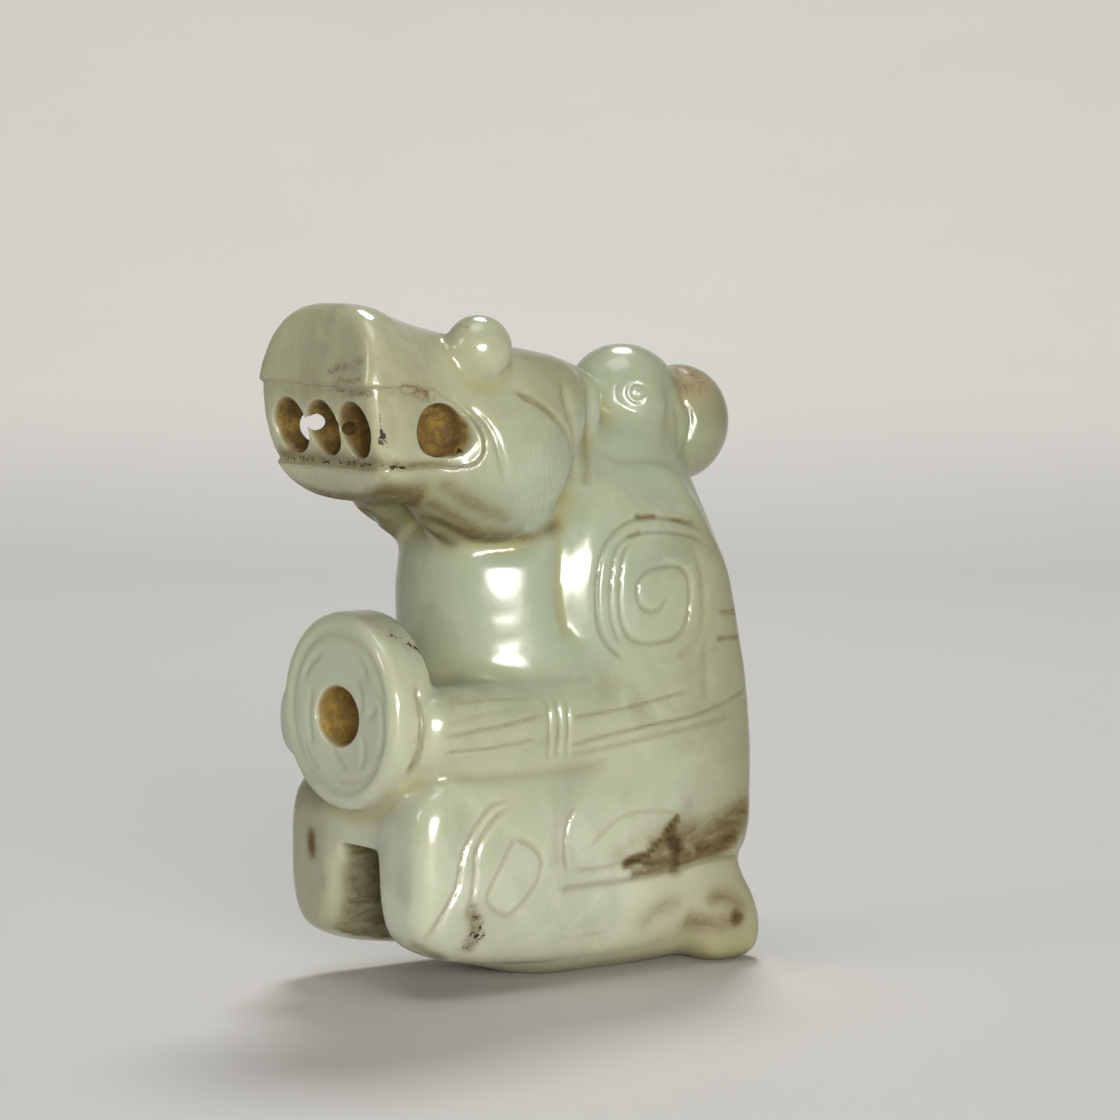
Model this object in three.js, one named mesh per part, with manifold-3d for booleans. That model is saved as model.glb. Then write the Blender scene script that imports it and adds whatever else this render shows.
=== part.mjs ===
// A small jade carving of a kneeling beast-headed figure that holds a disc before its chest.
// Millimetres. +Z is up, the figure faces -Y, its left side is +X, and the origin is on the ground under its middle.
// The whole carving is one piece of stone: rounded masses are joined, then gaps, holes and lines are cut into it.
import * as THREE from "three";
import { mergeVertices } from "three/addons/utils/BufferGeometryUtils.js";
import Module from "manifold-3d";

// The whole figure.
const HEIGHT = 56.0; // ground to the top of the snout
const LENGTH = 41.0; // nose to toes
const WIDTH = 20.8; // across the knees

// Small offsets are given in millimetres of the usual carving, 56 high, 41 long and 20.8 wide, and keep their
// share of its height, length and width.
const UP = HEIGHT / 56;
const ALONG = LENGTH / 41;
const OUT = WIDTH / 20.8;

// Levels above the ground.
const UPPER_LIP = 0.886 * HEIGHT;
const LOWER_LIP = 0.766 * HEIGHT;
const CHIN = 0.711 * HEIGHT;
const NECK = 0.8 * HEIGHT;
const DISC_AXIS = 0.408 * HEIGHT;
const ARM_AXIS = 0.385 * HEIGHT;
const THIGH_TOP = 0.332 * HEIGHT;
const CALF_LINE = 0.149 * HEIGHT;

// Reach forward (-Y) and back (+Y) of the origin.
const NOSE_FRONT = -0.532 * LENGTH;
const DISC_FRONT = -0.473 * LENGTH;
const KNEE_FRONT = -0.437 * LENGTH;
const CHEST_FRONT = -0.288 * LENGTH;
const BACK = 0.463 * LENGTH;

// Half widths across the body.
const HEAD_HALF = 0.413 * WIDTH;
const CHEST_HALF = 0.413 * WIDTH;
const ARM_HALF = 0.476 * WIDTH;
const LEG_HALF = 0.5 * WIDTH;
const CREST_HALF = 0.231 * WIDTH;

// Parts with sizes of their own.
const EYE_RADIUS = 2.75;
const EYE_BACK = 12.1; // behind the nose
const EYE_DROP = 3.8; // below the snout's top
const FAR_EYE_DROP = 4.7; // the figure's right eye sits a little lower than its left
const DISC_HALF_WIDTH = 8.2;
const DISC_HALF_HEIGHT = 8.1;
const DISC_THICKNESS = 4.4;
const DISC_EDGE = 0.7;
const BORE_RADIUS = 2.6;
const BORE_DEPTH = 3.2;
const HAND_BACK = 1.2; // behind the disc's face, on the figure's left
const FAR_HAND_BACK = 0.1; // and on its right
const FOREARM_HEIGHT = 7.2;
const KNEE_GAP = 5.8;
const KNEE_GAP_DEPTH = 7.2;
const KNEE_GAP_HEIGHT = 11.7;

// The mouth: a band set back from the lips, with drilled gaps that leave the teeth standing.
const MOUTH_SINK = 0.35;
const MOUTH_LENGTH = 11.0;
const TOOTH_GAP_RADIUS = 2.2;
const TOOTH_GAP_PITCH = 4.55;
const TOOTH_GAP_DEPTH = 3.4;
const SIDE_GAP_DEPTH = 2.2;
const SIDE_GAP_BACK = 7.7; // behind the nose, on the figure's left
const FAR_SIDE_GAP_DEPTH = 3.6; // on its right the side gap breaks into the first front gap
const FAR_SIDE_GAP_BACK = 5.2;

// Carved lines.
const LINE_RADIUS = 0.42;
const FINE_RADIUS = 0.32;
const LINE_STEP = 2.4;

const wasm = await Module();
wasm.setup();

const JADE = new THREE.MeshStandardMaterial({ color: 0xb9c2a4, roughness: 0.25, metalness: 0 });

/** A closed three.js geometry as a solid that can be joined and cut. */
function solid(geometry) {
  const bare = geometry.clone();
  bare.deleteAttribute("normal");
  bare.deleteAttribute("uv");
  const merged = mergeVertices(bare, 1e-4);
  return new wasm.Manifold(
    new wasm.Mesh({
      numProp: 3,
      vertProperties: merged.attributes.position.array,
      triVerts: new Uint32Array(merged.index.array),
    }),
  );
}

/** A solid's surface as a three.js geometry. */
function surface(body) {
  const mesh = body.getMesh();
  const geometry = new THREE.BufferGeometry();
  geometry.setAttribute("position", new THREE.BufferAttribute(new Float32Array(mesh.vertProperties), 3));
  geometry.setIndex(new THREE.BufferAttribute(new Uint32Array(mesh.triVerts), 1));
  return geometry;
}

/** Closed skin through rings of equal count, capped at both ends. Rings turn by the right hand along the loft. */
function loft(rings) {
  const count = rings[0].length;
  const points = rings.flat();
  const faces = [];
  for (let r = 0; r + 1 < rings.length; r++) {
    for (let i = 0; i < count; i++) {
      const a = r * count + i;
      const b = r * count + ((i + 1) % count);
      faces.push(a, b, b + count, a, b + count, a + count);
    }
  }
  const last = (rings.length - 1) * count;
  const ends = [rings[0], rings[rings.length - 1]].map((ring) =>
    ring.reduce((sum, p) => sum.add(p), new THREE.Vector3()).divideScalar(count),
  );
  points.push(...ends);
  for (let i = 0; i < count; i++) {
    const j = (i + 1) % count;
    faces.push(points.length - 2, j, i, points.length - 1, last + i, last + j);
  }
  const geometry = new THREE.BufferGeometry().setFromPoints(points);
  geometry.setIndex(faces);
  return solid(geometry);
}

/** Point at an angle of a rounded square: four half axes, and one power for each half of it. */
function rounded(angle, { plusU, minusU, plusV, minusV, powerPlus, powerMinus }) {
  const c = Math.cos(angle);
  const s = Math.sin(angle);
  const power = s >= 0 ? powerPlus : powerMinus;
  const reach = Math.pow(Math.pow(Math.abs(c), power) + Math.pow(Math.abs(s), power), -1 / power);
  return [c * reach * (c >= 0 ? plusU : minusU), s * reach * (s >= 0 ? plusV : minusV)];
}

/** Rings across the length: each row is [y, low x, high x, top z, bottom z]. */
function alongY(rows, { count, powerTop, powerBottom, middle, lean }) {
  return rows.map(([y, xLow, xHigh, zTop, zBottom]) => {
    const cx = (xLow + xHigh) / 2;
    const cz = middle ?? (zTop + zBottom) / 2;
    const axes = { plusU: xHigh - cx, minusU: cx - xLow, plusV: zTop - cz, minusV: cz - zBottom };
    return Array.from({ length: count }, (_, i) => {
      const angle = (-2 * Math.PI * i) / count;
      const [u, v] = rounded(angle, { ...axes, powerPlus: powerTop, powerMinus: powerBottom });
      return new THREE.Vector3(cx + u, y + (lean ? lean(y, cz + v) : 0), cz + v);
    });
  });
}

/** Level rings from the ground up: each row is [z, low x, high x, front y, back y]. */
function alongZ(rows, { count, powerFront, powerBack, middle }) {
  return rows.map(([z, xLow, xHigh, front, back]) => {
    const cx = (xLow + xHigh) / 2;
    const axes = { plusU: xHigh - cx, minusU: cx - xLow, plusV: back - middle, minusV: middle - front };
    return Array.from({ length: count }, (_, i) => {
      const angle = (2 * Math.PI * i) / count;
      const [u, v] = rounded(angle, { ...axes, powerPlus: powerBack, powerMinus: powerFront });
      return new THREE.Vector3(cx + u, middle + v, z);
    });
  });
}

/** An ellipsoid at a place, tipped about X. */
function egg([x, y, z], [rx, ry, rz], { tip = 0, around = 16, down = 10 } = {}) {
  const geometry = new THREE.SphereGeometry(1, around, down)
    .rotateX(Math.PI / 2)
    .scale(rx, ry, rz)
    .rotateX(tip)
    .translate(x, y, z);
  return solid(geometry);
}

/** A round drill hole that starts outside the surface and ends in a bowl. */
function drill(mouth, direction, radius, depth) {
  const outside = 1.4 * radius;
  const bowl = radius * 0.35;
  const profile = [
    [0, -outside],
    [radius, -outside],
    [radius, depth - bowl],
    [radius * 0.7, depth - bowl * 0.25],
    [0, depth],
  ].map(([r, h]) => new THREE.Vector2(r, h));
  const turn = new THREE.Quaternion().setFromUnitVectors(
    new THREE.Vector3(0, 1, 0),
    new THREE.Vector3(...direction).normalize(),
  );
  const geometry = new THREE.LatheGeometry(profile, 14).applyQuaternion(turn).translate(...mouth);
  return solid(geometry);
}

const both = (make) => [make(1), make(-1)];
const joined = (bodies) => bodies.reduce((all, body) => all.add(body));

/** Low and high x of a part on the side that sign names, from its inner and outer distance. */
const sideX = (sign, inner, outer) => (sign > 0 ? [inner, outer] : [-outer, -inner]);

/** Trunk from the seat to the neck: a round chest in front and a squarer back. Rows: share of neck height, etc. */
function trunk() {
  const rows = [
    [0.0, 0.44, 8.6, -7.0],
    [0.01, 0.6, 6.8, -5.5],
    [0.05, 0.9, 2.0, -3.2],
    [0.18, 0.98, 0.6, -2.5],
    [0.215, 1.04, 0.6, -0.9],
    [0.26, 1.07, 0.6, 0],
    [0.38, 1.08, 0.8, -0.2],
    [0.5, 1.06, 0.6, -0.5],
    [0.61, 1.03, 0.2, -1.1],
    [0.72, 1.0, 0, -2.0],
    [0.8, 0.95, 0.4, -3.4],
    [0.87, 0.86, 1.8, -4.6],
    [0.94, 0.74, 3.8, -5.8],
    [1.0, 0.58, 6.8, -7.6],
  ].map(([rise, share, front, back]) => [
    NECK * rise,
    -CHEST_HALF * share,
    CHEST_HALF * share,
    CHEST_FRONT + front * ALONG,
    BACK + back * ALONG,
  ]);
  return loft(alongZ(rows, { count: 30, powerFront: 2.2, powerBack: 5.5, middle: 0 }));
}

/** Upper arm and flank: a panel that stands proud of the chest from the shoulder down to the calf. */
function upperArm(sign) {
  const rows = [
    [0.165, 1.9, 5.0, -4.0],
    [0.2, 0.8, 4.0, -2.8],
    [0.23, 0.35, 3.0, -1.8],
    [0.38, 0.3, 2.0, -1.4],
    [0.5, 0.3, 2.0, -1.8],
    [0.56, 0.25, 1.2, -2.2],
    [0.62, 0.3, 0.2, -2.8],
    [0.68, 0.35, -0.4, -3.3],
    [0.75, 0.45, 0.2, -4.1],
    [0.81, 0.8, 0.9, -5.5],
    [0.87, 1.5, 1.7, -6.9],
    [0.92, 2.5, 2.7, -8.4],
    [0.96, 4.0, 4.0, -9.8],
  ].map(([rise, inset, front, back]) => [
    NECK * rise,
    ...sideX(sign, 0.1 * WIDTH, ARM_HALF - inset * OUT),
    front * ALONG,
    BACK + back * ALONG,
  ]);
  return loft(alongZ(rows, { count: 20, powerFront: 4.5, powerBack: 4, middle: 0.42 * BACK }));
}

/** Forearm, level from the elbow to the hand that presses on the disc's edge. */
function forearm(sign) {
  const half = FOREARM_HEIGHT / 2;
  const hand = DISC_FRONT + (sign > 0 ? HAND_BACK : FAR_HAND_BACK);
  const elbow = BACK - 3 * ALONG;
  const rows = [
    [hand, 1.3, 1.2],
    [hand + 0.5 * ALONG, 0.6, 0.5],
    [hand + 2.0 * ALONG, 0.2, 0.1],
    [hand + 6.0 * ALONG, 0, 0],
    [0, 0, 0],
    [elbow * 0.5, 0.1, -0.2],
    [elbow * 0.8, 0.5, 0],
    [elbow, 1.6, 0.8],
  ].map(([y, inset, pinch]) => [
    y,
    ...sideX(sign, 0.15 * WIDTH, ARM_HALF - inset * OUT),
    ARM_AXIS + half - pinch * UP,
    ARM_AXIS - half + pinch * UP,
  ]);
  return loft(alongY(rows, { count: 20, powerTop: 3, powerBottom: 3 }));
}

/** Folded leg: knee in front, thigh above, and calf along the ground. */
function leg(sign) {
  const inner = KNEE_GAP / 2;
  const rows = [
    [KNEE_FRONT, 0.9, 1.9, 4.2, 5.4],
    [KNEE_FRONT + 0.5 * ALONG, 0.35, 0.9, 2.8, 4.4],
    [KNEE_FRONT + 1.8 * ALONG, 0.1, 0.3, 1.4, 3.6],
    [KNEE_FRONT + 4.6 * ALONG, 0, 0, 0.5, 2.7],
    [KNEE_FRONT * 0.5, 0, 0.1, 0.1, 2.1],
    [KNEE_FRONT * 0.2, 0, 0.3, 0, 1.7],
    [BACK * 0.15, 0, 0.5, 0, 1.6],
    [BACK * 0.45, 0, 0.7, 0, 1.9],
    [BACK * 0.65, 0, 1.0, 0.4, 2.2],
    [BACK * 0.78, 0.5, 1.7, 1.4, 3.4],
  ].map(([y, inset, outset, fall, bottom]) => [
    y,
    ...sideX(sign, inner + inset * OUT, LEG_HALF - outset * OUT),
    THIGH_TOP - fall * UP,
    bottom * UP,
  ]);
  return loft(alongY(rows, { count: 22, powerTop: 4, powerBottom: 2.6 }));
}

/** Foot behind the leg, with the toes turned under to the ground. */
function foot(sign) {
  const rows = [
    [0, 3.0, -5.6, -1.8],
    [0.06, 1.9, -6.4, -1.0],
    [0.18, 1.3, -7.2, -0.6],
    [0.4, 1.0, -7.8, -0.7],
    [0.65, 1.1, -8.4, -1.4],
    [0.85, 1.4, -8.4, -2.4],
    [1.05, 1.7, -8.0, -3.2],
    [1.3, 2.6, -8.0, -4.4],
  ].map(([rise, inset, front, back]) => [
    CALF_LINE * rise,
    ...sideX(sign, 0.06 * WIDTH, LEG_HALF - inset * OUT),
    BACK + front * ALONG,
    BACK + back * ALONG,
  ]);
  return loft(alongZ(rows, { count: 20, powerFront: 4, powerBack: 4, middle: BACK - 4 * ALONG }));
}

/** Stone left between the arms, the chest, the disc and the thighs. */
function lap() {
  const top = ARM_AXIS + FOREARM_HEIGHT / 2;
  const rows = [
    [DISC_FRONT + 1.9 * ALONG, 0.3, -0.8],
    [DISC_FRONT + 5.0 * ALONG, 0.37, -0.4],
    [CHEST_FRONT + 2.0 * ALONG, 0.42, 0.4],
    [BACK * 0.2, 0.43, 1.2],
  ].map(([y, share, rise]) => [y, -WIDTH * share, WIDTH * share, top + rise * UP, CALF_LINE + 2 * UP]);
  return loft(alongY(rows, { count: 16, powerTop: 3.4, powerBottom: 3.4 }));
}

/** The disc, a cake with a soft edge, upright and facing forward. */
function disc() {
  const half = DISC_THICKNESS / 2;
  const edge = DISC_EDGE;
  const radius = DISC_HALF_HEIGHT;
  const profile = [
    [0, -half],
    [radius - edge * 1.4, -half],
    [radius - edge * 0.35, -half + edge * 0.45],
    [radius, -half + edge * 1.5],
    [radius, half - edge],
    [radius - edge, half],
    [0, half],
  ].map(([r, h]) => new THREE.Vector2(r, h));
  const geometry = new THREE.LatheGeometry(profile, 30)
    .scale(DISC_HALF_WIDTH / radius, 1, 1)
    .translate(0, DISC_FRONT + half, DISC_AXIS);
  return solid(geometry);
}

/** How far the muzzle's face leans back, above and below the lips, fading out along the head. */
function muzzleLean(y, z) {
  const fade = Math.max(0, 1 - (y - NOSE_FRONT) / (9 * ALONG));
  const above = (z - UPPER_LIP) / UP;
  return fade * ALONG * (above > 0 ? 0.2 * above : 0.03 * above * above);
}

/** Muzzle and skull in one: square at the mouth, arched at the nose, low over the nape. */
function skull() {
  const middle = UPPER_LIP - 1.6 * UP;
  const tall = HEIGHT - middle;
  const rows = [
    [0.0, 0.94, 0.94, 1.0],
    [0.35, 0.98, 0.98, 0.6],
    [1.2, 1.0, 1.0, 0.15],
    [2.8, 0.98, 0.985, 0],
    [4.8, 0.93, 0.9, 0],
    [7.8, 0.87, 0.79, 0.3],
    [11.4, 0.86, 0.68, 1.0],
    [15.6, 0.9, 0.57, 1.5],
    [19.2, 0.9, 0.5, 2.0],
    [22.2, 0.82, 0.42, 3.0],
    [24.8, 0.68, 0.27, 4.0],
    [26.4, 0.46, 0.08, 5.4],
  ].map(([back, share, rise, lift]) => [
    NOSE_FRONT + back * ALONG,
    -HEAD_HALF * share,
    HEAD_HALF * share,
    middle + tall * rise,
    CHIN + lift * UP,
  ]);
  return loft(alongY(rows, { count: 28, powerTop: 2.7, powerBottom: 3.6, middle, lean: muzzleLean }));
}

/** The heavy jaw muscle at each side of the head. */
function cheek(sign) {
  const place = [sign * 0.46 * HEAD_HALF, NOSE_FRONT + 14.6 * ALONG, CHIN + 3.4 * UP];
  return egg(place, [0.65 * HEAD_HALF, 8.3 * ALONG, 7.6 * UP], { around: 16, down: 12 });
}

/** Round bulging eye on the brow. */
function eye(sign) {
  const drop = sign > 0 ? EYE_DROP : FAR_EYE_DROP;
  const place = [sign * 0.73 * HEAD_HALF, NOSE_FRONT + EYE_BACK, HEIGHT - drop];
  return egg(place, [EYE_RADIUS, EYE_RADIUS, EYE_RADIUS], { around: 16, down: 10 });
}

/** Crest behind the head: two round lobes, one over the other's shoulder. */
function crest() {
  const lobes = [
    [9.0, 2.6, 1.0, 4.9, 4.5, -0.5],
    [3.4, 0.3, 0.96, 4.4, 5.0, -0.2],
    [11.0, -1.8, 1.08, 6.4, 4.6, 0],
  ];
  return joined(
    lobes.map(([ahead, rise, width, long, tall, tip]) =>
      egg([0, BACK - ahead * ALONG, NECK + rise * UP], [CREST_HALF * width, long * ALONG, tall * UP], { tip }),
    ),
  );
}

/** The band between the lips, as the stone to take away around a slimmer muzzle. */
function mouthBand() {
  const rear = NOSE_FRONT + MOUTH_LENGTH;
  const ahead = NOSE_FRONT - 2 * ALONG;
  const open = UPPER_LIP - LOWER_LIP;
  const long = MOUTH_LENGTH;
  const level = (share) => LOWER_LIP + open * share;
  const behind = (share) => rear - long * share;
  const outline = new THREE.Shape();
  outline.moveTo(ahead, level(0));
  outline.lineTo(behind(0.1), level(0.02));
  outline.bezierCurveTo(behind(-0.03), level(0.15), behind(-0.02), level(0.5), behind(0.11), level(0.67));
  outline.bezierCurveTo(behind(0.3), level(0.94), behind(0.55), level(1), ahead, level(1));
  outline.closePath();
  const width = 2 * HEAD_HALF + 6 * OUT;
  const slab = new THREE.ExtrudeGeometry(outline, { depth: width, bevelEnabled: false, curveSegments: 5 });
  // The outline is drawn in y and z, so its first axis is turned to Y and its second to Z.
  const turned = new THREE.Matrix4().makeBasis(
    new THREE.Vector3(0, 1, 0),
    new THREE.Vector3(0, 0, 1),
    new THREE.Vector3(1, 0, 0),
  );
  const band = solid(slab.applyMatrix4(turned).translate(-width / 2, 0, 0));
  const half = HEAD_HALF - MOUTH_SINK;
  const rows = [
    [0.0, 0.93],
    [0.5, 0.98],
    [1.6, 1.0],
    [4.2, 0.95],
    [8.0, 0.92],
    [11.0, 0.99],
    [14.0, 1.12],
  ].map(([back, share]) => [
    NOSE_FRONT + MOUTH_SINK + back * ALONG,
    -half * share,
    half * share,
    UPPER_LIP + 2 * UP,
    LOWER_LIP - 2 * UP,
  ]);
  const slim = loft(alongY(rows, { count: 26, powerTop: 5, powerBottom: 5, lean: muzzleLean }));
  return band.subtract(slim);
}

/** Drilled gaps between the teeth: three in front and one at each side. */
function toothGaps() {
  const level = LOWER_LIP + (UPPER_LIP - LOWER_LIP) * 0.44;
  const front = [-1, 0, 1].map((k) =>
    drill([k * TOOTH_GAP_PITCH, NOSE_FRONT + ALONG, level], [0, 1, 0], TOOTH_GAP_RADIUS, TOOTH_GAP_DEPTH),
  );
  const wall = 0.86 * HEAD_HALF;
  const near = drill([wall, NOSE_FRONT + SIDE_GAP_BACK, level], [-1, 0, 0], TOOTH_GAP_RADIUS, SIDE_GAP_DEPTH);
  const far = drill(
    [-wall, NOSE_FRONT + FAR_SIDE_GAP_BACK, level],
    [1, 0, 0],
    TOOTH_GAP_RADIUS,
    FAR_SIDE_GAP_DEPTH,
  );
  return joined([...front, near, far]);
}

/** The slot between the knees. */
function kneeSlot() {
  const spare = 0.5 * KNEE_GAP;
  const depth = KNEE_GAP_DEPTH + spare;
  const height = KNEE_GAP_HEIGHT + spare;
  const geometry = new THREE.BoxGeometry(KNEE_GAP, depth, height).translate(
    0,
    KNEE_FRONT - spare + depth / 2,
    KNEE_GAP_HEIGHT - height / 2,
  );
  return solid(geometry);
}

/** Lays a line drawn from the side, [y, z] points, on the carving's skin: even steps of a smooth curve. */
function onSide(skin, points, sign) {
  const flat = new THREE.CatmullRomCurve3(points.map(([y, z]) => new THREE.Vector3(sign * WIDTH, y, z)));
  const steps = Math.max(3, Math.round(flat.getLength() / LINE_STEP));
  const inwards = new THREE.Vector3(-sign, 0, 0);
  return flat
    .getSpacedPoints(steps)
    .map((p) => new THREE.Raycaster(p, inwards).intersectObject(skin)[0])
    .filter((hit) => hit)
    .map((hit) => hit.point);
}

/** A groove's cutter: a slim four-sided bar along a line on the skin, thinner at its ends. */
function groove(line, outward) {
  const sides = 4;
  const rings = line.map((p, i) => {
    const before = line[Math.max(0, i - 1)];
    const after = line[Math.min(line.length - 1, i + 1)];
    const along = new THREE.Vector3().subVectors(after, before).normalize();
    const side = new THREE.Vector3().crossVectors(along, outward).normalize();
    const up = new THREE.Vector3().crossVectors(along, side);
    const size = i === 0 || i === line.length - 1 ? LINE_RADIUS * 0.5 : LINE_RADIUS;
    return Array.from({ length: sides }, (_, k) => {
      const angle = (2 * Math.PI * k) / sides;
      return p
        .clone()
        .addScaledVector(side, Math.cos(angle) * size)
        .addScaledVector(up, Math.sin(angle) * size);
    });
  });
  return loft(rings);
}

/** Squared spiral in y and z about a centre, inwards from one angle by so many turns. */
function spiral([y, z], [width, height], inner, turns, begin) {
  const count = Math.round(turns * 12);
  return Array.from({ length: count + 1 }, (_, i) => {
    const t = i / count;
    const shrink = 1 - t * (1 - inner);
    const angle = begin + t * turns * 2 * Math.PI;
    const axes = { plusU: width, minusU: width, plusV: height, minusV: height };
    const [u, v] = rounded(angle, { ...axes, powerPlus: 3, powerMinus: 3 });
    return [y + u * shrink, z + v * shrink];
  });
}

/** A line drawn from the side: [y, rise] points, each so far along the figure and above a level. */
function sideLine(level, points) {
  return points.map(([y, rise]) => [y * ALONG, level + rise * UP]);
}

/** Lines cut into both sides: the shoulder's spiral and its outer line, the cuff and the fold over the calf. */
function sideLines() {
  const centre = [6.3, 10.4];
  const outer = Array.from({ length: 9 }, (_, i) => {
    const angle = Math.PI * (0.28 + i / 8);
    return [centre[0] + 5.6 * Math.cos(angle), centre[1] + 6.2 * Math.sin(angle)];
  });
  const cuffs = [-4.9, -3.7].map((y) => [[y, 2.8], [y + 0.1, 0], [y, -2.9]]);
  const inner = spiral(centre, [4.2, 5.0], 0.2, 1.9, Math.PI * 0.12);
  return [
    ...[inner, outer, ...cuffs].map((line) => sideLine(ARM_AXIS, line)),
    sideLine(CALF_LINE, [[-4.6, -1], [-3.6, -0.1], [4.3, 0], [12.4, 0.3]]),
  ];
}

/** Finer lines, on the figure's left only: fingers, sleeve, knee, hip and the fold behind the jaw. */
function leftLines() {
  const kneecap = Array.from({ length: 10 }, (_, i) => {
    const angle = (2 * Math.PI * (i + 0.2)) / 10;
    const [u, v] = [1.9 * Math.cos(angle), 3.5 * Math.sin(angle)];
    return [-8.8 + u * 0.87 + v * 0.5, 1.0 + v * 0.87 - u * 0.5];
  });
  const hand = [
    [[-15.2, 1.3], [-7.2, 1.4]],
    [[-15.0, -1.0], [-6.6, -0.3]],
    [[-15.0, -2.3], [-7.0, -2.2]],
    [[-2.6, 0.6], [4.0, 1.1], [9.0, 2.0]],
    [[-3.0, -1.8], [4.0, -0.9], [11.6, 0.1], [15.0, 1.6]],
  ];
  const thigh = [
    kneecap,
    [[-9.2, 7.6], [-12.2, 6.4], [-14.0, 4.0], [-14.7, 1.1], [-15.4, -2.4]],
    [[-2.2, 6.8], [-3.3, 4.7], [-3.5, 1.4]],
  ];
  return [
    ...hand.map((line) => sideLine(ARM_AXIS, line)),
    ...thigh.map((line) => sideLine(CALF_LINE, line)),
    sideLine(CHIN, [[-6.7, 8.7], [-4.2, 7.1], [-1.7, 4.7], [-0.5, 2.6]]),
  ];
}

/** Two rings cut into the disc's face around its bore. */
function discRings() {
  return [0.78, 0.64].map((share) =>
    solid(
      new THREE.TorusGeometry(DISC_HALF_HEIGHT * share, FINE_RADIUS, 4, 24)
        .rotateX(Math.PI / 2)
        .scale(DISC_HALF_WIDTH / DISC_HALF_HEIGHT, 1, 1)
        .translate(0, DISC_FRONT, DISC_AXIS),
    ),
  );
}

/** The masses of the figure joined into one body. */
function masses() {
  return joined([
    trunk(),
    ...both(upperArm),
    ...both(forearm),
    ...both(leg),
    ...both(foot),
    lap(),
    disc(),
    skull(),
    ...both(cheek),
    ...both(eye),
    crest(),
  ]);
}

/** The finished carving. */
function carving() {
  const block = masses().subtract(mouthBand()).subtract(kneeSlot()).subtract(toothGaps());
  const bored = block.subtract(drill([0, DISC_FRONT, 0.985 * DISC_AXIS], [0, 1, 0], BORE_RADIUS, BORE_DEPTH));
  const skin = new THREE.Mesh(surface(bored), JADE);
  const left = new THREE.Vector3(1, 0, 0);
  const right = new THREE.Vector3(-1, 0, 0);
  const cuts = [
    ...[...sideLines(), ...leftLines()].map((line) => groove(onSide(skin, line, 1), left)),
    ...sideLines().map((line) => groove(onSide(skin, line, -1), right)),
    ...discRings(),
  ];
  return bored.subtract(joined(cuts));
}

const group = new THREE.Group();
const figure = new THREE.Mesh(surface(carving()), JADE);
figure.name = "figure";
group.add(figure);

export default group;
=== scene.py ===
"""A small jade figure of a kneeling beast that holds a disc before its chest, cut from one stone."""

import logging
import math
from collections.abc import Callable, Sequence
from dataclasses import dataclass, field
from enum import Enum

import bpy
import numpy as np
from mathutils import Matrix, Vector
from mathutils.bvhtree import BVHTree
from mathutils.kdtree import KDTree


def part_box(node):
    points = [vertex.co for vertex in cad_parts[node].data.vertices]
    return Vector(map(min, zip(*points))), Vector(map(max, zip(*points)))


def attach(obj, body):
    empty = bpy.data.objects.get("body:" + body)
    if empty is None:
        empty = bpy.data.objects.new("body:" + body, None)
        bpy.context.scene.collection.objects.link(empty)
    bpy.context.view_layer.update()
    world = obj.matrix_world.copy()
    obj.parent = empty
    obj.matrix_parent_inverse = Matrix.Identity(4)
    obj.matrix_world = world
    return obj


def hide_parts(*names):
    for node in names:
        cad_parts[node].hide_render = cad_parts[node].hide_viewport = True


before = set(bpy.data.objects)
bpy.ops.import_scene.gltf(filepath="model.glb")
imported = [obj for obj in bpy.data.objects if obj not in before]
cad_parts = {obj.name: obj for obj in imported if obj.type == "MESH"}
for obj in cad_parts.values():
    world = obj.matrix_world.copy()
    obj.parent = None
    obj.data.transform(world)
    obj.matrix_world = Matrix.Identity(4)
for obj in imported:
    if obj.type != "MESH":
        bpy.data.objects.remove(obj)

logging.basicConfig(level=logging.INFO, format="%(message)s")
log = logging.getLogger("jade_figure")

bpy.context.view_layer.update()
METRES = 0.001  # the stone is cut in millimetres and set to metres once, when it is finished
SEED = 7

Row = tuple[float, ...]
Points = np.ndarray


class Side(Enum):
    """The figure's own left and right."""

    LEFT = 1
    RIGHT = -1


class Axis(Enum):
    """The way that the sections of a mass follow each other."""

    UPRIGHT = "z"
    LENGTHWISE = "y"


class Face(Enum):
    """The side that a line is drawn on: the two axes it is drawn in and the way it is looked at."""

    LEFT = (1, 2, (-1.0, 0.0, 0.0))
    RIGHT = (1, 2, (1.0, 0.0, 0.0))
    FRONT = (0, 2, (0.0, 1.0, 0.0))
    BACK = (0, 2, (0.0, -1.0, 0.0))


@dataclass(frozen=True)
class Proportions:
    """Levels above the ground, reaches forward (-Y) and back (+Y), and half widths, in millimetres."""

    top: float = 56.0
    upper_lip: float = 49.6
    lower_lip: float = 42.9
    chin: float = 39.8
    neck: float = 44.8
    disc_axis: float = 22.85
    arm_axis: float = 21.56
    thigh_top: float = 18.6
    calf_line: float = 8.34
    nose_front: float = -21.8
    disc_front: float = -19.39
    knee_front: float = -17.92
    chest_front: float = -11.8
    back: float = 18.98
    width: float = 20.8
    head_half: float = 8.59
    chest_half: float = 8.59
    arm_half: float = 9.9
    leg_half: float = 10.4
    crest_half: float = 4.8


SIZE = Proportions()


# Bench work: small tools that every piece is made with.


def deselect() -> None:
    """Leaves nothing selected."""
    bpy.ops.object.select_all(action="DESELECT")


def take(*pieces: bpy.types.Object) -> None:
    """Selects these pieces and makes the first the active one.

    Args:
        pieces: the pieces to work on.
    """
    deselect()
    for piece in pieces:
        piece.select_set(True)
    bpy.context.view_layer.objects.active = pieces[0]


def read_points(piece: bpy.types.Object) -> Points:
    """Reads a piece's corners.

    Args:
        piece: a mesh piece.

    Returns:
        One row of x, y and z for each corner.
    """
    flat = np.empty(len(piece.data.vertices) * 3)
    piece.data.vertices.foreach_get("co", flat)
    return flat.reshape(-1, 3)


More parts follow.
